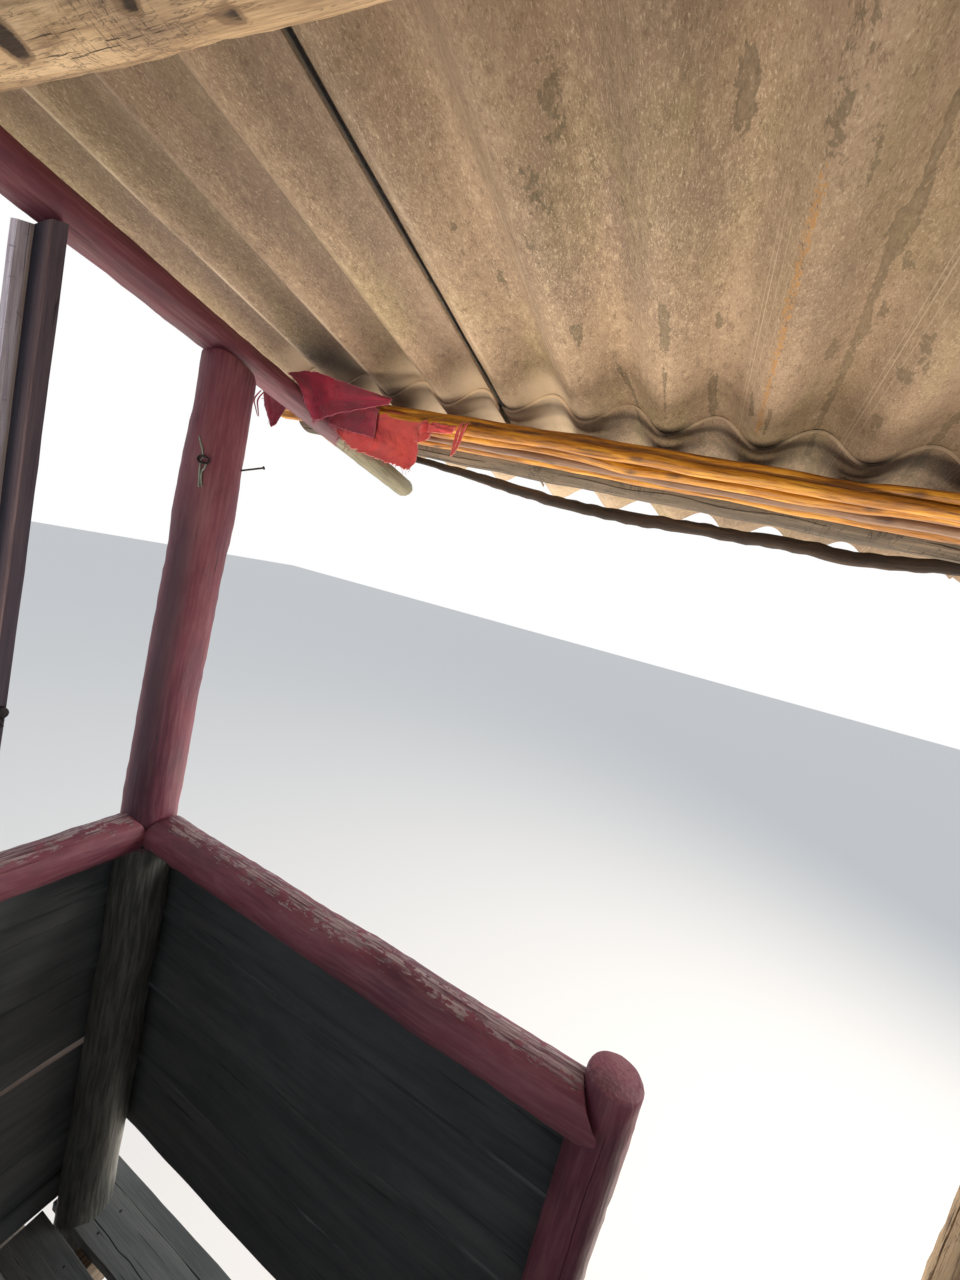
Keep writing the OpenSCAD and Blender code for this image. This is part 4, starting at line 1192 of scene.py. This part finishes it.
SMALL_TIE = (
    ((-1.182, 1.096, -0.072), (-1.177, 1.096, -0.072)),
    ((-1.188, 1.090, -0.100), (-1.182, 1.090, -0.101)),
    ((-1.168, 1.088, -0.126), (-1.162, 1.088, -0.128)),
    ((-1.150, 1.088, -0.146), (-1.146, 1.088, -0.148)),
)
STRAP_TIE = (
    ((-0.540, 1.0930, -0.072), (-0.530, 1.0925, -0.072)),
    ((-0.541, 1.0880, -0.084), (-0.532, 1.0875, -0.084)),
    ((-0.540, 1.0870, -0.120), (-0.531, 1.0860, -0.120)),
    ((-0.536, 1.0870, -0.156), (-0.528, 1.0865, -0.156)),
)


def second_tie(tie, by, rise):
    """A copy of a tie moved sideways, by these amounts at its rows, whose foot is higher"""
    rises = (0, 0, 0, rise)
    return [[(x + step, y, z + up) for x, y, z in row] for row, step, up in zip(tie, by, rises)]


LEFT_EDGE = np.s_[:, 0]
RIGHT_EDGE = np.s_[:, -1]
FOOT = np.s_[-1]


def flags():
    """Each flag: its sheets with their seeds, grids, torn edges and creases, its loose threads by edge,
    seed, length and share, its flat width and length, and how it is held"""
    threads = Piece("flag_threads", "dark_cloth", "red_cloth")
    small_ties = SMALL_TIE, second_tie(SMALL_TIE, (0.014, 0.014, 0.0084, 0.0042), 0)
    strap_ties = STRAP_TIE, second_tie(STRAP_TIE, (0.012, 0.012, 0.0096, 0.0024), 0.006)
    table = (
        ("large_flag", "bright_cloth", [(LARGE_FLAG, 301, 84, 56, (0.02, 0.010, 0, 0.040), 0.005)],
         [(FOOT, 302, 0.011, 0.7), (RIGHT_EDGE, 303, 0.007, 0.5)], (0.285, 0.150), "hung"),
        ("dark_flag", "dark_cloth", [(DARK_FLAG, 304, 60, 44, (0.03, 0.012, 0, 0.03))],
         [(FOOT, 305, 0.010, 0.6)], (0.160, 0.090), "hung"),
        ("tied_flag", "dark_cloth", [(TIED_FLAG, 306, 72, 48, (0.02, 0.02, 0.03, 0.05))],
         [(np.s_[-1, 10:], 307, 0.012, 0.9)], (0.250, 0.110), "draped"),
        ("small_flag", "dark_cloth",
         [(SMALL_FLAG, 308, 44, 44, (0.05, 0.03, 0, 0.03))]
         + [(tie, 314, 6, 24, (0.05, 0.05, 0, 0), 0.001) for tie in small_ties],
         [(LEFT_EDGE, 309, 0.006, 0.4), (RIGHT_EDGE, 310, 0.005, 0.3)], (0.125, 0.115), "hung"),
        ("flag_strap", "bright_cloth",
         [(STRAP, 311, 36, 36, (0.05, 0.05, 0, 0.06)), (STRAP_LOOP, 312, 40, 22, (0, 0.05, 0, 0.05))]
         + [(tie, 313, 8, 30, (0.1, 0.1, 0, 0.05), 0.002) for tie in strap_ties],
         [], (0.090, 0.110), "gathered"),
    )
    for name, finish, sheets, fringes, flat, held in table:
        piece = Piece(name, finish, "red_cloth")
        grids = [cloth(piece, *sheet) for sheet in sheets]
        for edge, seed, length, share in fringes:
            fringe(threads, grids[0][0][edge], seed, length, share)
        piece.make(CLOTH_SHARP)
    threads_piece = threads.make(CLOTH_SHARP)


flags()

# Roof sheets

# Runs and patches on the underside: their line across and down the roof, half width, strength
STAINS = (
    (((0.119, 0.60), (0.123, 0.666), (0.128, 0.725)), 0.0055, 0.80),
    (((0.125, 0.78), (0.125, 0.83), (0.130, 0.907), (0.135, 1.024), (0.134, 1.14), (0.141, 1.26)),
     0.006, 0.75),
    (((0.124, 0.740), (0.124, 0.762)), 0.014, 0.95), (((0.104, 0.925), (0.108, 0.940)), 0.010, 0.8),
    (((0.150, 0.86), (0.140, 0.90), (0.130, 0.93)), 0.007, 0.7),
    (((0.146, 0.800), (0.146, 0.815)), 0.008, 0.6), (((0.205, 0.870), (0.202, 0.880)), 0.009, 0.6),
    (((0.214, 0.925), (0.202, 0.945)), 0.012, 0.7), (((0.206, 1.05), (0.206, 1.08)), 0.010, 0.6),
    (((0.034, 0.53), (0.040, 0.62)), 0.018, 0.42), (((0.070, 0.60), (0.075, 0.68)), 0.012, 0.40),
    (((0.311, 1.08), (0.311, 1.21), (0.317, 1.30)), 0.009, 0.7),
    (((-0.054, 1.04), (-0.048, 1.16)), 0.008, 0.8), (((-0.054, 0.895), (-0.052, 0.915)), 0.007, 0.7),
    (((-0.120, 0.83), (-0.118, 0.87), (-0.122, 0.93)), 0.009, 0.75),
    (((-0.038, 0.99), (-0.038, 1.00)), 0.006, 0.6), (((-0.122, 0.96), (-0.122, 1.12)), 0.005, 0.55),
    (((-0.270, 0.915), (-0.270, 0.932)), 0.010, 0.85),
    (((-0.225, 1.05), (-0.205, 1.13), (-0.189, 1.21)), 0.006, 0.65),
    (((-0.050, 0.595), (-0.050, 0.620)), 0.011, 0.85), (((-0.241, 0.565), (-0.246, 0.62)), 0.014, 0.50),
    (((-0.283, 0.64), (-0.272, 0.70)), 0.022, 0.40), (((-0.218, 0.670), (-0.218, 0.678)), 0.007, 0.6),
    (((-0.180, 0.690), (-0.180, 0.698)), 0.007, 0.6), (((-0.297, 0.74), (-0.295, 0.76)), 0.008, 0.6),
    (((-0.404, 0.845), (-0.400, 0.865)), 0.008, 0.6), (((-0.432, 0.740), (-0.430, 0.745)), 0.007, 0.6),
    (((0.020, 1.04), (0.024, 1.10)), 0.006, 0.7), (((0.056, 1.05), (0.052, 1.12)), 0.006, 0.6),
    (((-0.70, 0.00), (-0.70, 0.40)), 0.012, 0.45), (((0.72, -0.45), (0.72, 0.10)), 0.014, 0.55),
    (((-0.35, -0.85), (-0.35, -0.35)), 0.014, 0.5), (((0.42, -0.20), (0.43, 0.30)), 0.010, 0.5),
    (((0.90, 0.20), (0.91, 0.80)), 0.012, 0.6), (((-1.10, -0.50), (-1.10, 0.00)), 0.012, 0.5),
)
RUST = (
    (((0.037, 0.64), (0.037, 0.762), (0.039, 0.841), (0.041, 0.985), (0.042, 1.13)), 0.007, 0.75),
    (((0.60, 0.20), (0.60, 0.60)), 0.007, 0.6), (((-0.125, 0.78), (-0.125, 1.05)), 0.006, 0.30),
    (((0.206, 1.03), (0.206, 1.08)), 0.006, 0.45), (((-0.95, -0.10), (-0.95, 0.30)), 0.007, 0.5),
)
# Painted shadows on the wave crests over the flags
FLAG_SHADOWS = (
    (((-0.990, 1.05), (-0.960, 1.11), (-0.950, 1.15)), 0.030, 0.85),
    (((-0.815, 1.165), (-0.800, 1.190)), 0.022, 0.75),
)

PIVOT_Y = roof_y("rear_purlin")
ROW_TILT = math.atan(LAP_LIFT / (LAP_Y - PIVOT_Y))
SHEET_STEP = 0.035
SHEET_ROUGH = 0.0005
MITRE_RUN = 0.3
SAWN_RUN = 0.04
SAWN_ROUGH = 0.0012
SAWN_OFF = 0.0015
STAIN_STRETCH = 0.6


def wave(x):
    return WAVE_DEPTH / 2 * (1 - np.cos(TAU * (x - WAVE_PHASE) / WAVE_PITCH))


def wave_rise(x):
    return math.pi * WAVE_DEPTH / WAVE_PITCH * np.sin(TAU * (x - WAVE_PHASE) / WAVE_PITCH)


def sheet_from(column):
    return sum(COVERS[:column]) - ROOF_W / 2


def near_path(x, y, path, wide):
    """1 on a line of places on the roof, falling off to its sides"""
    least = np.full_like(x, np.inf)
    for (x0, y0), (x1, y1) in zip(path, path[1:]):
        dx, dy = x1 - x0, y1 - y0
        t = np.clip(((x - x0) * dx + (y - y0) * dy) / (dx * dx + dy * dy), 0, 1)
        least = np.minimum(least, np.hypot(x - x0 - t * dx, (y - y0 - t * dy) * STAIN_STRETCH))
    return np.exp(-((least / wide) ** 2))


def sheet_marks(x, y):
    """Where water has left dark and rusty runs on a sheet's underside, and where shadows are painted over the
    flags
    """
    marks = {}
    for key, rows in (("stain", STAINS), ("rust", RUST), ("dirt_and_shade", FLAG_SHADOWS)):
        marks[key] = np.max([strength * near_path(x, y, path, wide) for path, wide, strength in rows], axis=0)
    return marks


def mitre(x, column, sign):
    """How far down the roof the sawn corner's edge lies, for the sheet that is under it or over it"""
    at = sheet_from(column) + SIDE_LAP / 2 + sign * MITRE_GAP / 2
    return LAP_Y + END_LAP / 2 - (x - at) * END_LAP / SIDE_LAP


def roof_sheet(name, column, y_from, y_to, row_tilt, seed):
    """One sheet of the roof. The upper sheets' lower right corners are sawn off, and so are
    the lower sheets' upper left ones, but for those at the roof's sides."""
    rng = np.random.default_rng(seed)
    lower = name.startswith("lower")
    width = COVERS[column] + SIDE_LAP
    x_from = sheet_from(column)
    xs = x_from + np.linspace(0, width, round(width / WAVE_PITCH * 26) + 1)
    lift = 0 if column == 0 else LAP_LIFT * (1 - (xs - x_from) / width)
    droop = EDGE_DROOP[column] * np.clip(1 - (x_from + width - xs) / EDGE_DROOP_RUN, 0, 1) ** 1.5
    under = wave(xs) + lift - droop
    over = under + SHEET_T * np.sqrt(1 + wave_rise(xs) ** 2)
    x = np.concatenate([xs, xs[::-1]])[None, :]
    z = np.concatenate([under, over[::-1]])[None, :]
    y = np.linspace(y_from, y_to, round((y_to - y_from) / SHEET_STEP))[:, None] + 0 * x
    if not lower and column < 2:
        y = y - np.maximum(y_to - mitre(x, column + 1, -1), 0) * near_end(y, y_to, MITRE_RUN)
    if lower and column > 0:
        y = y + np.maximum(mitre(x, column, 1) - y_from, 0) * near_start(y, y_from, MITRE_RUN)
    rough_edge = SAWN_ROUGH * ripple(rng, 0 * x, x * 9, 12, (1, 2), (1, 9)) - SAWN_OFF
    y = y + near_end(y, y_to, SAWN_RUN) * rough_edge
    y = y - near_start(y, y_from, SAWN_RUN) * rough_edge
    z = z + SHEET_ROUGH * ripple(rng, y, x * 6, 8, (0.15, 1.2), (0, 4))
    x = x + 0 * y
    lean = y - PIVOT_Y
    tilted_y = PIVOT_Y + lean * math.cos(row_tilt) - z * math.sin(row_tilt)
    tilted_z = lean * math.sin(row_tilt) + z * math.cos(row_tilt)
    points = (np.stack([x, tilted_y, tilted_z, np.ones_like(x)], -1) @ np.array(roof_matrix).T)[..., :3]
    top = np.repeat([0.0, 1.0], len(xs)) + 0 * x
    piece = Piece(name, "fibre_cement")
    piece.add_tube(points, np.stack([x, tilted_z, y], -1), top=top, lower=float(lower), **sheet_marks(x, y))
    piece.make(sharp=50)


for column, side in enumerate(("left", "middle", "right")):
    upper, lower = "upper_sheet_" + side, "lower_sheet_" + side
    roof_sheet(upper, column, roof_box("upper_sheet_left")[0].y, LAP_Y + END_LAP, ROW_TILT, seed=80 + column)
    roof_sheet(lower, column, LAP_Y, roof_box(lower)[1].y, 0, seed=90 + column)

# Props, wall boards, floor

# How close together the points lie along each side of a prop's outline
OUTLINE_SHARES = (0, 0.06, 0.35, 0.65, 0.94)


def prop(name, side, seed):
    """An old door jamb with a rebate on its inner side"""
    low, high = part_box(name)
    x, y, _ = (low + high) / 2
    half_t, half_w = (high.x - low.x) / 2, (high.y - low.y) / 2
    step_y = -half_w + REBATE_W
    outline = [(-half_t, -half_w), (half_t - REBATE_D, -half_w), (half_t - REBATE_D, step_y),
               (half_t, step_y), (half_t, half_w), (-half_t, half_w)]
    ahead = outline[1:] + outline[:1]
    dense = [(a + (to_a - a) * t, b + (to_b - b) * t) for (a, b), (to_a, to_b) in zip(outline, ahead)
             for t in OUTLINE_SHARES]
    inward, across = np.array(dense).T
    plank = (inward < half_t - REBATE_D + 0.001) & (across < step_y + 0.001)
    flank = (inward > half_t - REBATE_D + 0.002) & (np.abs(across - step_y) < 0.001)
    depth = np.clip((half_t - inward) / REBATE_D, 0, 1)
    # The plank's face is painted lighter, and the flank is painted with shade deep in the rebate and painted
    # lighter near its edge
    marks = {"bare": plank.astype(float), "dirt_and_shade": flank * np.clip(depth * 2.4 - 0.7, 0, 1),
             "wear": flank * np.clip(1 - depth * 2.4, 0, 0.8),
             "edge": 0.7 * (plank & (np.abs(across - step_y) < 0.002))}
    section = np.stack([side * inward, across], -1)[::side]
    marks = {key: value[::side] for key, value in marks.items()}
    piece = Piece(name, "prop_wood")
    board(piece, (x, y, low.z), (x, y, high.z), 2 * half_t, 2 * half_w, seed, up=FRONT, section=section,
          wavy=0.0006, cup=0, warp=0.001, tone=0.1, end_fall=PROP_TOP_FALL, **marks)
    piece.make()


prop("left_prop", -1, seed=99)
prop("right_prop", 1, seed=101)

# Each wall's axis that it faces along, its way out along that, and its first board's seed
WALLS = {"left_wall_boards": (0, -1, 110), "right_wall_boards": (0, 1, 120),
         "rear_wall_boards": (1, -1, 130), "front_wall_boards": (1, 1, 140)}
WALL_COLUMNS = 11
# The board whose upper edge has painted light
LIT_EDGE_BOARD = 1


def board_rows(name):
    """The foot and the height of each of a wall's boards"""
    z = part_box(name)[0].z
    for height, gap in FRONT_ROWS if name == "front_wall_boards" else BOARD_ROWS:
        yield z, height
        z += height + gap


def walls():
    """Boards over each other; one board's upper edge has painted light on it, but for the front wall"""
    for name, (axis, _, seed) in WALLS.items():
        low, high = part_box(name)
        piece = Piece(name, "board_wood")
        for k, (foot, height) in enumerate(board_rows(name)):
            start, end = low.copy(), high.copy()
            start[axis] = end[axis] = (low[axis] + high[axis]) / 2
            start.z = end.z = foot + height / 2
            # Painted light on this board's upper edge
            bare = float(k == LIT_EDGE_BOARD and name != "front_wall_boards")
            lit_upper_edge = [0] * (2 * WALL_COLUMNS + 2) + [bare] * 2
            board(piece, start, end, height, high[axis] - low[axis], seed + k, up=AXES[axis],
                  columns=WALL_COLUMNS, wear=lit_upper_edge)
        piece.make()


def floor_board_rows():
    """The rear edge of each floor board"""
    low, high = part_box("floor_boards")
    count = math.floor((high.y - low.y + FLOOR_GAP) / (FLOOR_BOARD_W + FLOOR_GAP))
    return np.linspace(low.y, high.y - FLOOR_BOARD_W, count)


def joist_places():
    low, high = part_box("floor_joists")
    return np.linspace(low.x + JOIST_T / 2, high.x - JOIST_T / 2, JOIST_COUNT)


def floor_pieces():
    low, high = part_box("floor_boards")
    z, thick = middle("floor_boards").z, high.z - low.z
    piece = Piece("floor_boards", "board_wood")
    for k, rear in enumerate(floor_board_rows()):
        y = rear + FLOOR_BOARD_W / 2
        board(piece, (low.x, y, z), (high.x, y, z), FLOOR_BOARD_W, thick, 150 + k, columns=7, warp=0.0008)
    piece.make()
    low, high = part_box("floor_edge")
    _, y, z = middle("floor_edge")
    piece = Piece("floor_edge", "board_wood")
    board(piece, (low.x, y, z), (high.x, y, z), high.z - low.z, high.y - low.y, 170, up=FRONT, warp=0.001)
    piece.make()
    low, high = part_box("floor_joists")
    z = middle("floor_joists").z
    piece = Piece("floor_joists", "grey_wood")
    for k, x in enumerate(joist_places()):
        board(piece, (x, low.y, z), (x, high.y, z), JOIST_T, high.z - low.z, 172 + k, warp=0.001)
    piece.make()


walls()
floor_pieces()

# Bearers, girts, braces and the ladder

# Each level log's axis, seed, knots and hewn flats
LEVEL_LOGS = {"front_bearer": (0, 180, 5, 4), "rear_bearer": (0, 181, 5, 4), "left_girt": (1, 182, 4, 2),
              "right_girt": (1, 183, 4, 2), "rear_girt": (0, 184, 4, 2)}
# Each brace's axis across it, its way out along that, and where its low and high ends are along the other
BRACES = {"left_brace": (0, 1, front_y, rear_y), "right_brace": (0, -1, rear_y, front_y),
          "rear_brace": (1, 1, left_x, right_x)}


def on_brace(name, share):
    """A place on a brace's middle line, from its low end to its high one"""
    axis, _, low_end, high_end = BRACES[name]
    place = middle(name)
    place[1 - axis] = low_end + (high_end - low_end) * share
    place.z = BRACE_LOW + (BRACE_HIGH - BRACE_LOW) * share
    return place


def under_frame():
    for name, (axis, seed, knots, hewn) in LEVEL_LOGS.items():
        start, end = middle(name), middle(name)
        start[axis], end[axis] = (corner[axis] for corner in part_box(name))
        d = extent(name).z
        log_piece(name, "grey_wood", start, end, d, d, seed, knots=knots, hewn=hewn)
    for number, name in enumerate(BRACES):
        log_piece(name, "grey_wood", on_brace(name, 0), on_brace(name, 1), BRACE_D, BRACE_D, 186 + number,
                  knots=4, hewn=3)


def rung_heights():
    low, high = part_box("ladder_rungs")
    d = high.y - low.y
    count = round((high.z - low.z - d) / RUNG_STEP) + 1
    return [low.z + d / 2 + k * RUNG_STEP for k in range(count)]


def ladder():
    for number, name in enumerate(("ladder_left_pole", "ladder_right_pole")):
        x, d = middle(name).x, extent(name).x
        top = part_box(name)[1]
        y = top.y - d / 2
        log_piece(name, "tan_wood", (x, y, 0), (x, y, top.z), d, d, 190 + number, up=FRONT, knots=8, hewn=3)
    low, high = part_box("ladder_rungs")
    y, d = middle("ladder_rungs").y, extent("ladder_rungs").y
    piece = Piece("ladder_rungs", "tan_wood")
    for k, z in enumerate(rung_heights()):
        log(piece, (low.x, y, z), (high.x, y, z), d, d, 200 + k, columns=24, knots=1, cracks=4, bevel=0.005)
    piece.make()


under_frame()
ladder()

# Nails, bolts and wires: rings of height and radius along each one's axis

NAIL = ((-0.004, 0.0036), (0.0008, 0.0042), (0.0015, 0.0034), (0.0018, 0.0016))
LONG_NAIL = ((-0.010, 0.0019), (0.0440, 0.0019), (0.0444, 0.0036), (0.0465, 0.0036), (0.0470, 0.0026))
WASHER = ((-0.004, 0.018), (0.0022, 0.018), (0.0030, 0.0168))
NUT = ((0.0020, 0.0085), (0.0085, 0.0085), (0.0095, 0.0072))
STUD = ((0.0080, 0.0042), (0.0150, 0.0042), (0.0160, 0.0030))
HOOK_PLATE = ((-0.003, 0.0105), (0.0070, 0.0095), (0.0078, 0.0080))
HOOK_ARM = ((0.0, 0.0026), (0.0130, 0.0024), (0.0138, 0.0014))
NAIL_SINK = 0.0012
RUNG_NAIL_SINK = 0.0015
BOLT_SINK = 0.001
BRACE_BOLT_SHARES = (0.02, 0.98)
WALL_NAIL_SHARES = (0.22, 0.78)
FLOOR_NAIL_SHARES = (0.25, 0.75)
FLOOR_NAIL_STRAY = 0.006


def turned_solid(piece, foot, axis, profile, sides=10):
    """Adds a small turned solid on a foot point"""
    foot, axis = Vector(foot), Vector(axis)
    _, along, side, top = frame_of(foot, foot + axis, RIGHT if abs(axis.z) > 0.8 else UP)
    angle = (TAU * np.arange(sides) / sides)[:, None]
    rings = np.array([along * h + r * (np.cos(angle) * side + np.sin(angle) * top) for h, r in profile])
    piece.add_tube(rings + np.array(foot), rings)


def bolt(piece, foot, axis):
    for profile, sides in ((WASHER, 20), (NUT, 6), (STUD, 10)):
        turned_solid(piece, foot, axis, profile, sides)


def roof_bolts():
    """Bolts through the crests of the upper sheets, over each purlin"""
    piece = Piece("roof_bolts", "zinc", "fibre_cement")
    axis = in_roof(0, 0, 1) - in_roof(0, 0, 0)
    for column in range(3):
        first, width = sheet_from(column), COVERS[column] + SIDE_LAP
        crests = WAVE_PHASE + WAVE_PITCH * (np.arange(-9, 9) + 0.5)
        crests = crests[(crests > first + 0.05) & (crests < first + COVERS[column])]
        for x in (crests[1], crests[-2]):
            lift = 0 if column == 0 else LAP_LIFT * (1 - (x - first) / width)
            for name in PURLINS:
                rise = WAVE_DEPTH + lift + SHEET_T + math.tan(ROW_TILT) * (roof_y(name) - PIVOT_Y)
                bolt(piece, in_roof(x, roof_y(name), rise), axis)
    piece.make()


def nail_places():
    """Places of the boards' nails, with their way out"""
    ends = {"front_wall_boards": (left_x, newel_x), "rear_wall_boards": (left_x, right_x)}
    for name, (axis, sign, _) in WALLS.items():
        for foot, height in board_rows(name):
            for share in WALL_NAIL_SHARES:
                for end in ends.get(name, (rear_y, front_y)):
                    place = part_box(name)[sign > 0].copy()
                    place[1 - axis] = end
                    place.z = foot + height * share
                    yield place, sign * AXES[axis]
    floor_top, floor_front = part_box("floor_boards")[1].z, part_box("floor_edge")[1].y
    for j, x in enumerate(joist_places()):
        for k, rear in enumerate(floor_board_rows()):
            nail_x = x + FLOOR_NAIL_STRAY * math.sin(7 * k + j)
            for share in FLOOR_NAIL_SHARES:
                yield Vector((nail_x, rear + FLOOR_BOARD_W * share, floor_top)), UP
        yield Vector((x, floor_front, middle("floor_joists").z)), FRONT


def board_nails():
    piece = Piece("board_nails", "iron", "board_wood")
    for place, out in nail_places():
        turned_solid(piece, place - out * NAIL_SINK, out, NAIL)
    piece.make()


def frame_bolt(piece, name, axis, sign, **place):
    """A bolt on a node's outer face along an axis, at its middle but for the places that are given"""
    foot = middle(name)
    for key, value in place.items():
        setattr(foot, key, value)
    foot[axis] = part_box(name)[sign > 0][axis] - sign * BOLT_SINK
    bolt(piece, foot, sign * AXES[axis])


def frame_bolts():
    """Bolts of the bearers, girts and braces"""
    piece = Piece("frame_bolts", "iron", "grey_wood")
    for x in (left_x, right_x):
        for name, sign in (("front_bearer", -1), ("rear_bearer", 1), ("rear_girt", -1)):
            frame_bolt(piece, name, 1, sign, x=x)
    for y in (front_y, rear_y):
        frame_bolt(piece, "left_girt", 0, -1, y=y)
        frame_bolt(piece, "right_girt", 0, 1, y=y)
    for name, (axis, sign, _, _) in BRACES.items():
        for share in BRACE_BOLT_SHARES:
            x, y, z = on_brace(name, share)
            frame_bolt(piece, name, axis, sign, x=x, y=y, z=z)
    piece.make()


def ladder_nails():
    piece = Piece("ladder_nails", "iron", "tan_wood")
    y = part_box("ladder_rungs")[1].y - RUNG_NAIL_SINK
    for z in rung_heights():
        for name in ("ladder_left_pole", "ladder_right_pole"):
            turned_solid(piece, (middle(name).x, y, z), FRONT, NAIL)
    piece.make()


# The wire hook on the front left post: degrees round the post, height
HOOK_TAIL = ((-71, 4.8411), (-66, 4.830), (-60, 4.817), (-56, 4.802))
HOOK_STRANDS = (((-59, 4.800), (-59, 4.785), (-57, 4.767), (-54.5, 4.7465)),
                ((-48, 4.797), (-50, 4.786), (-54, 4.776), (-53, 4.762), (-49, 4.748)))
HOOK_RING = (-54.5, 4.7995, 10.5, 0.0065)
WIRE_R = 0.0016
RING_R = 0.0020
RING_OUT = 0.0034
# Single nails: foot and way out
HOOK_NAIL = ((-0.8893, 0.8108, 4.8032), (0.845, 0.406, 0.343))
POST_NAIL = ((-0.9010, 0.7405, 3.9745), (0, -0.90, -0.44))
RAIL_NAIL = ((-0.8650, 0.7405, 3.9870), (0, -0.95, -0.31))
# The prop's hook: how far to the front it is, its plate's height, and its arms' heights and slopes
PROP_HOOK_Y = 0.470
PROP_HOOK_Z = 4.322
PROP_HOOK_ARMS = ((4.3125, 0), (4.3040, -0.08))


def on_post(turn, z, out):
    """A place on the front left post, some way off its surface"""
    r = post_d(z) / 2 + float(under_eave(z, 0)) + out
    return (left_x + r * math.cos(math.radians(turn)), front_y + r * math.sin(math.radians(turn)), z)


def wires():
    piece = Piece("post_wire", "old_wire", "red_paint")
    for line in (HOOK_TAIL, *HOOK_STRANDS):
        path_tube(piece, smooth_line([on_post(turn, z, WIRE_R) for turn, z in line], 16), WIRE_R)
    piece.make()
    piece = Piece("post_nails", "iron", "red_paint")
    turn, z, wide, tall = HOOK_RING
    path_tube(piece, [on_post(turn + wide * math.cos(a), z + tall * math.sin(a), RING_OUT)
                      for a in np.linspace(0, TAU, 25)], RING_R)
    turned_solid(piece, *HOOK_NAIL, LONG_NAIL)
    turned_solid(piece, *POST_NAIL, NAIL)
    piece.make()
    piece = Piece("rail_nail", "zinc", "red_paint")
    turned_solid(piece, *RAIL_NAIL, NAIL)
    piece.make()
    piece = Piece("prop_hook", "iron", "grey_wood")
    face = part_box("left_prop")[1].x
    turned_solid(piece, (face, PROP_HOOK_Y, PROP_HOOK_Z), RIGHT, HOOK_PLATE, 12)
    for z, slope in PROP_HOOK_ARMS:
        turned_solid(piece, (face, PROP_HOOK_Y, z), (1, 0, slope), HOOK_ARM, 8)
    piece.make()


roof_bolts()
board_nails()
frame_bolts()
ladder_nails()
wires()

# Stage and light

FLOOR_TINT = (0.88, 0.79, 0.69, 1)
FLOOR_ROUGHNESS = 0.9
FLOOR_HALF = 60
SKY_TINT = (0.58, 0.68, 0.82, 1)
WHITE = (1, 1, 1, 1)


def stage_floor():
    mesh = bpy.data.meshes.new("floor")
    corners = [(x * FLOOR_HALF, y * FLOOR_HALF, 0) for x, y in ((-1, -1), (1, -1), (1, 1), (-1, 1))]
    mesh.from_pydata(corners, [], [(0, 1, 2, 3)])
    floor = bpy.data.objects.new("stage_floor", mesh)
    bpy.context.scene.collection.objects.link(floor)
    finish = bpy.data.materials.new("stage_floor")
    finish.use_nodes = True
    shader = finish.node_tree.nodes["Principled BSDF"]
    shader.inputs["Base Color"].default_value = FLOOR_TINT
    shader.inputs["Roughness"].default_value = FLOOR_ROUGHNESS
    mesh.materials.append(finish)


def studio_sky():
    """The camera, metal and varnish see a white backdrop; the part is lit by a cooler sky"""
    world = bpy.data.worlds.new("studio")
    world.use_nodes = True
    sky = world.node_tree
    path_node = sky.nodes.new("ShaderNodeLightPath")
    tones = sky.nodes.new("ShaderNodeMix")
    tones.data_type = "RGBA"
    tones.inputs[6].default_value = SKY_TINT
    tones.inputs[7].default_value = WHITE
    seen_by = path_node.outputs["Is Camera Ray"]
    for ray in ("Is Glossy Ray", "Is Transmission Ray"):
        either = sky.nodes.new("ShaderNodeMath")
        either.operation = "MAXIMUM"
        sky.links.new(seen_by, either.inputs[0])
        sky.links.new(path_node.outputs[ray], either.inputs[1])
        seen_by = either.outputs[0]
    sky.links.new(seen_by, tones.inputs["Factor"])
    sky.links.new(tones.outputs[2], sky.nodes["Background"].inputs[0])
    bpy.context.scene.world = world


def lamp(name, place, aim, width, height, watts, tint, spread=180):
    data = bpy.data.lights.new(name, "AREA")
    data.shape = "RECTANGLE"
    data.size, data.size_y = width, height
    data.energy = watts
    data.color = tint
    data.spread = math.radians(spread)
    light = bpy.data.objects.new(name, data)
    light.location = place
    light.rotation_euler = (Vector(aim) - Vector(place)).to_track_quat("-Z", "Y").to_euler()
    light.visible_camera = False
    bpy.context.scene.collection.objects.link(light)


stage_floor()
studio_sky()
lamp("sand_glow", (-1.4, 4.8, 0.03), (-1.4, 4.8, 5.0), width=12, height=10, watts=820, tint=(1.0, 0.89, 0.74))
lamp("room_fill", (0.0, -0.95, 3.15), (0.0, 1.20, 5.05), width=2.0, height=0.4, watts=3.2,
     tint=(1.0, 0.88, 0.72), spread=26)
lamp("sky_light", (6.0, 5.0, 9.0), (0, 0.4, 4.4), width=6, height=6, watts=1100, tint=(1.0, 0.98, 0.95))
bpy.context.scene.view_settings.view_transform = "Standard"
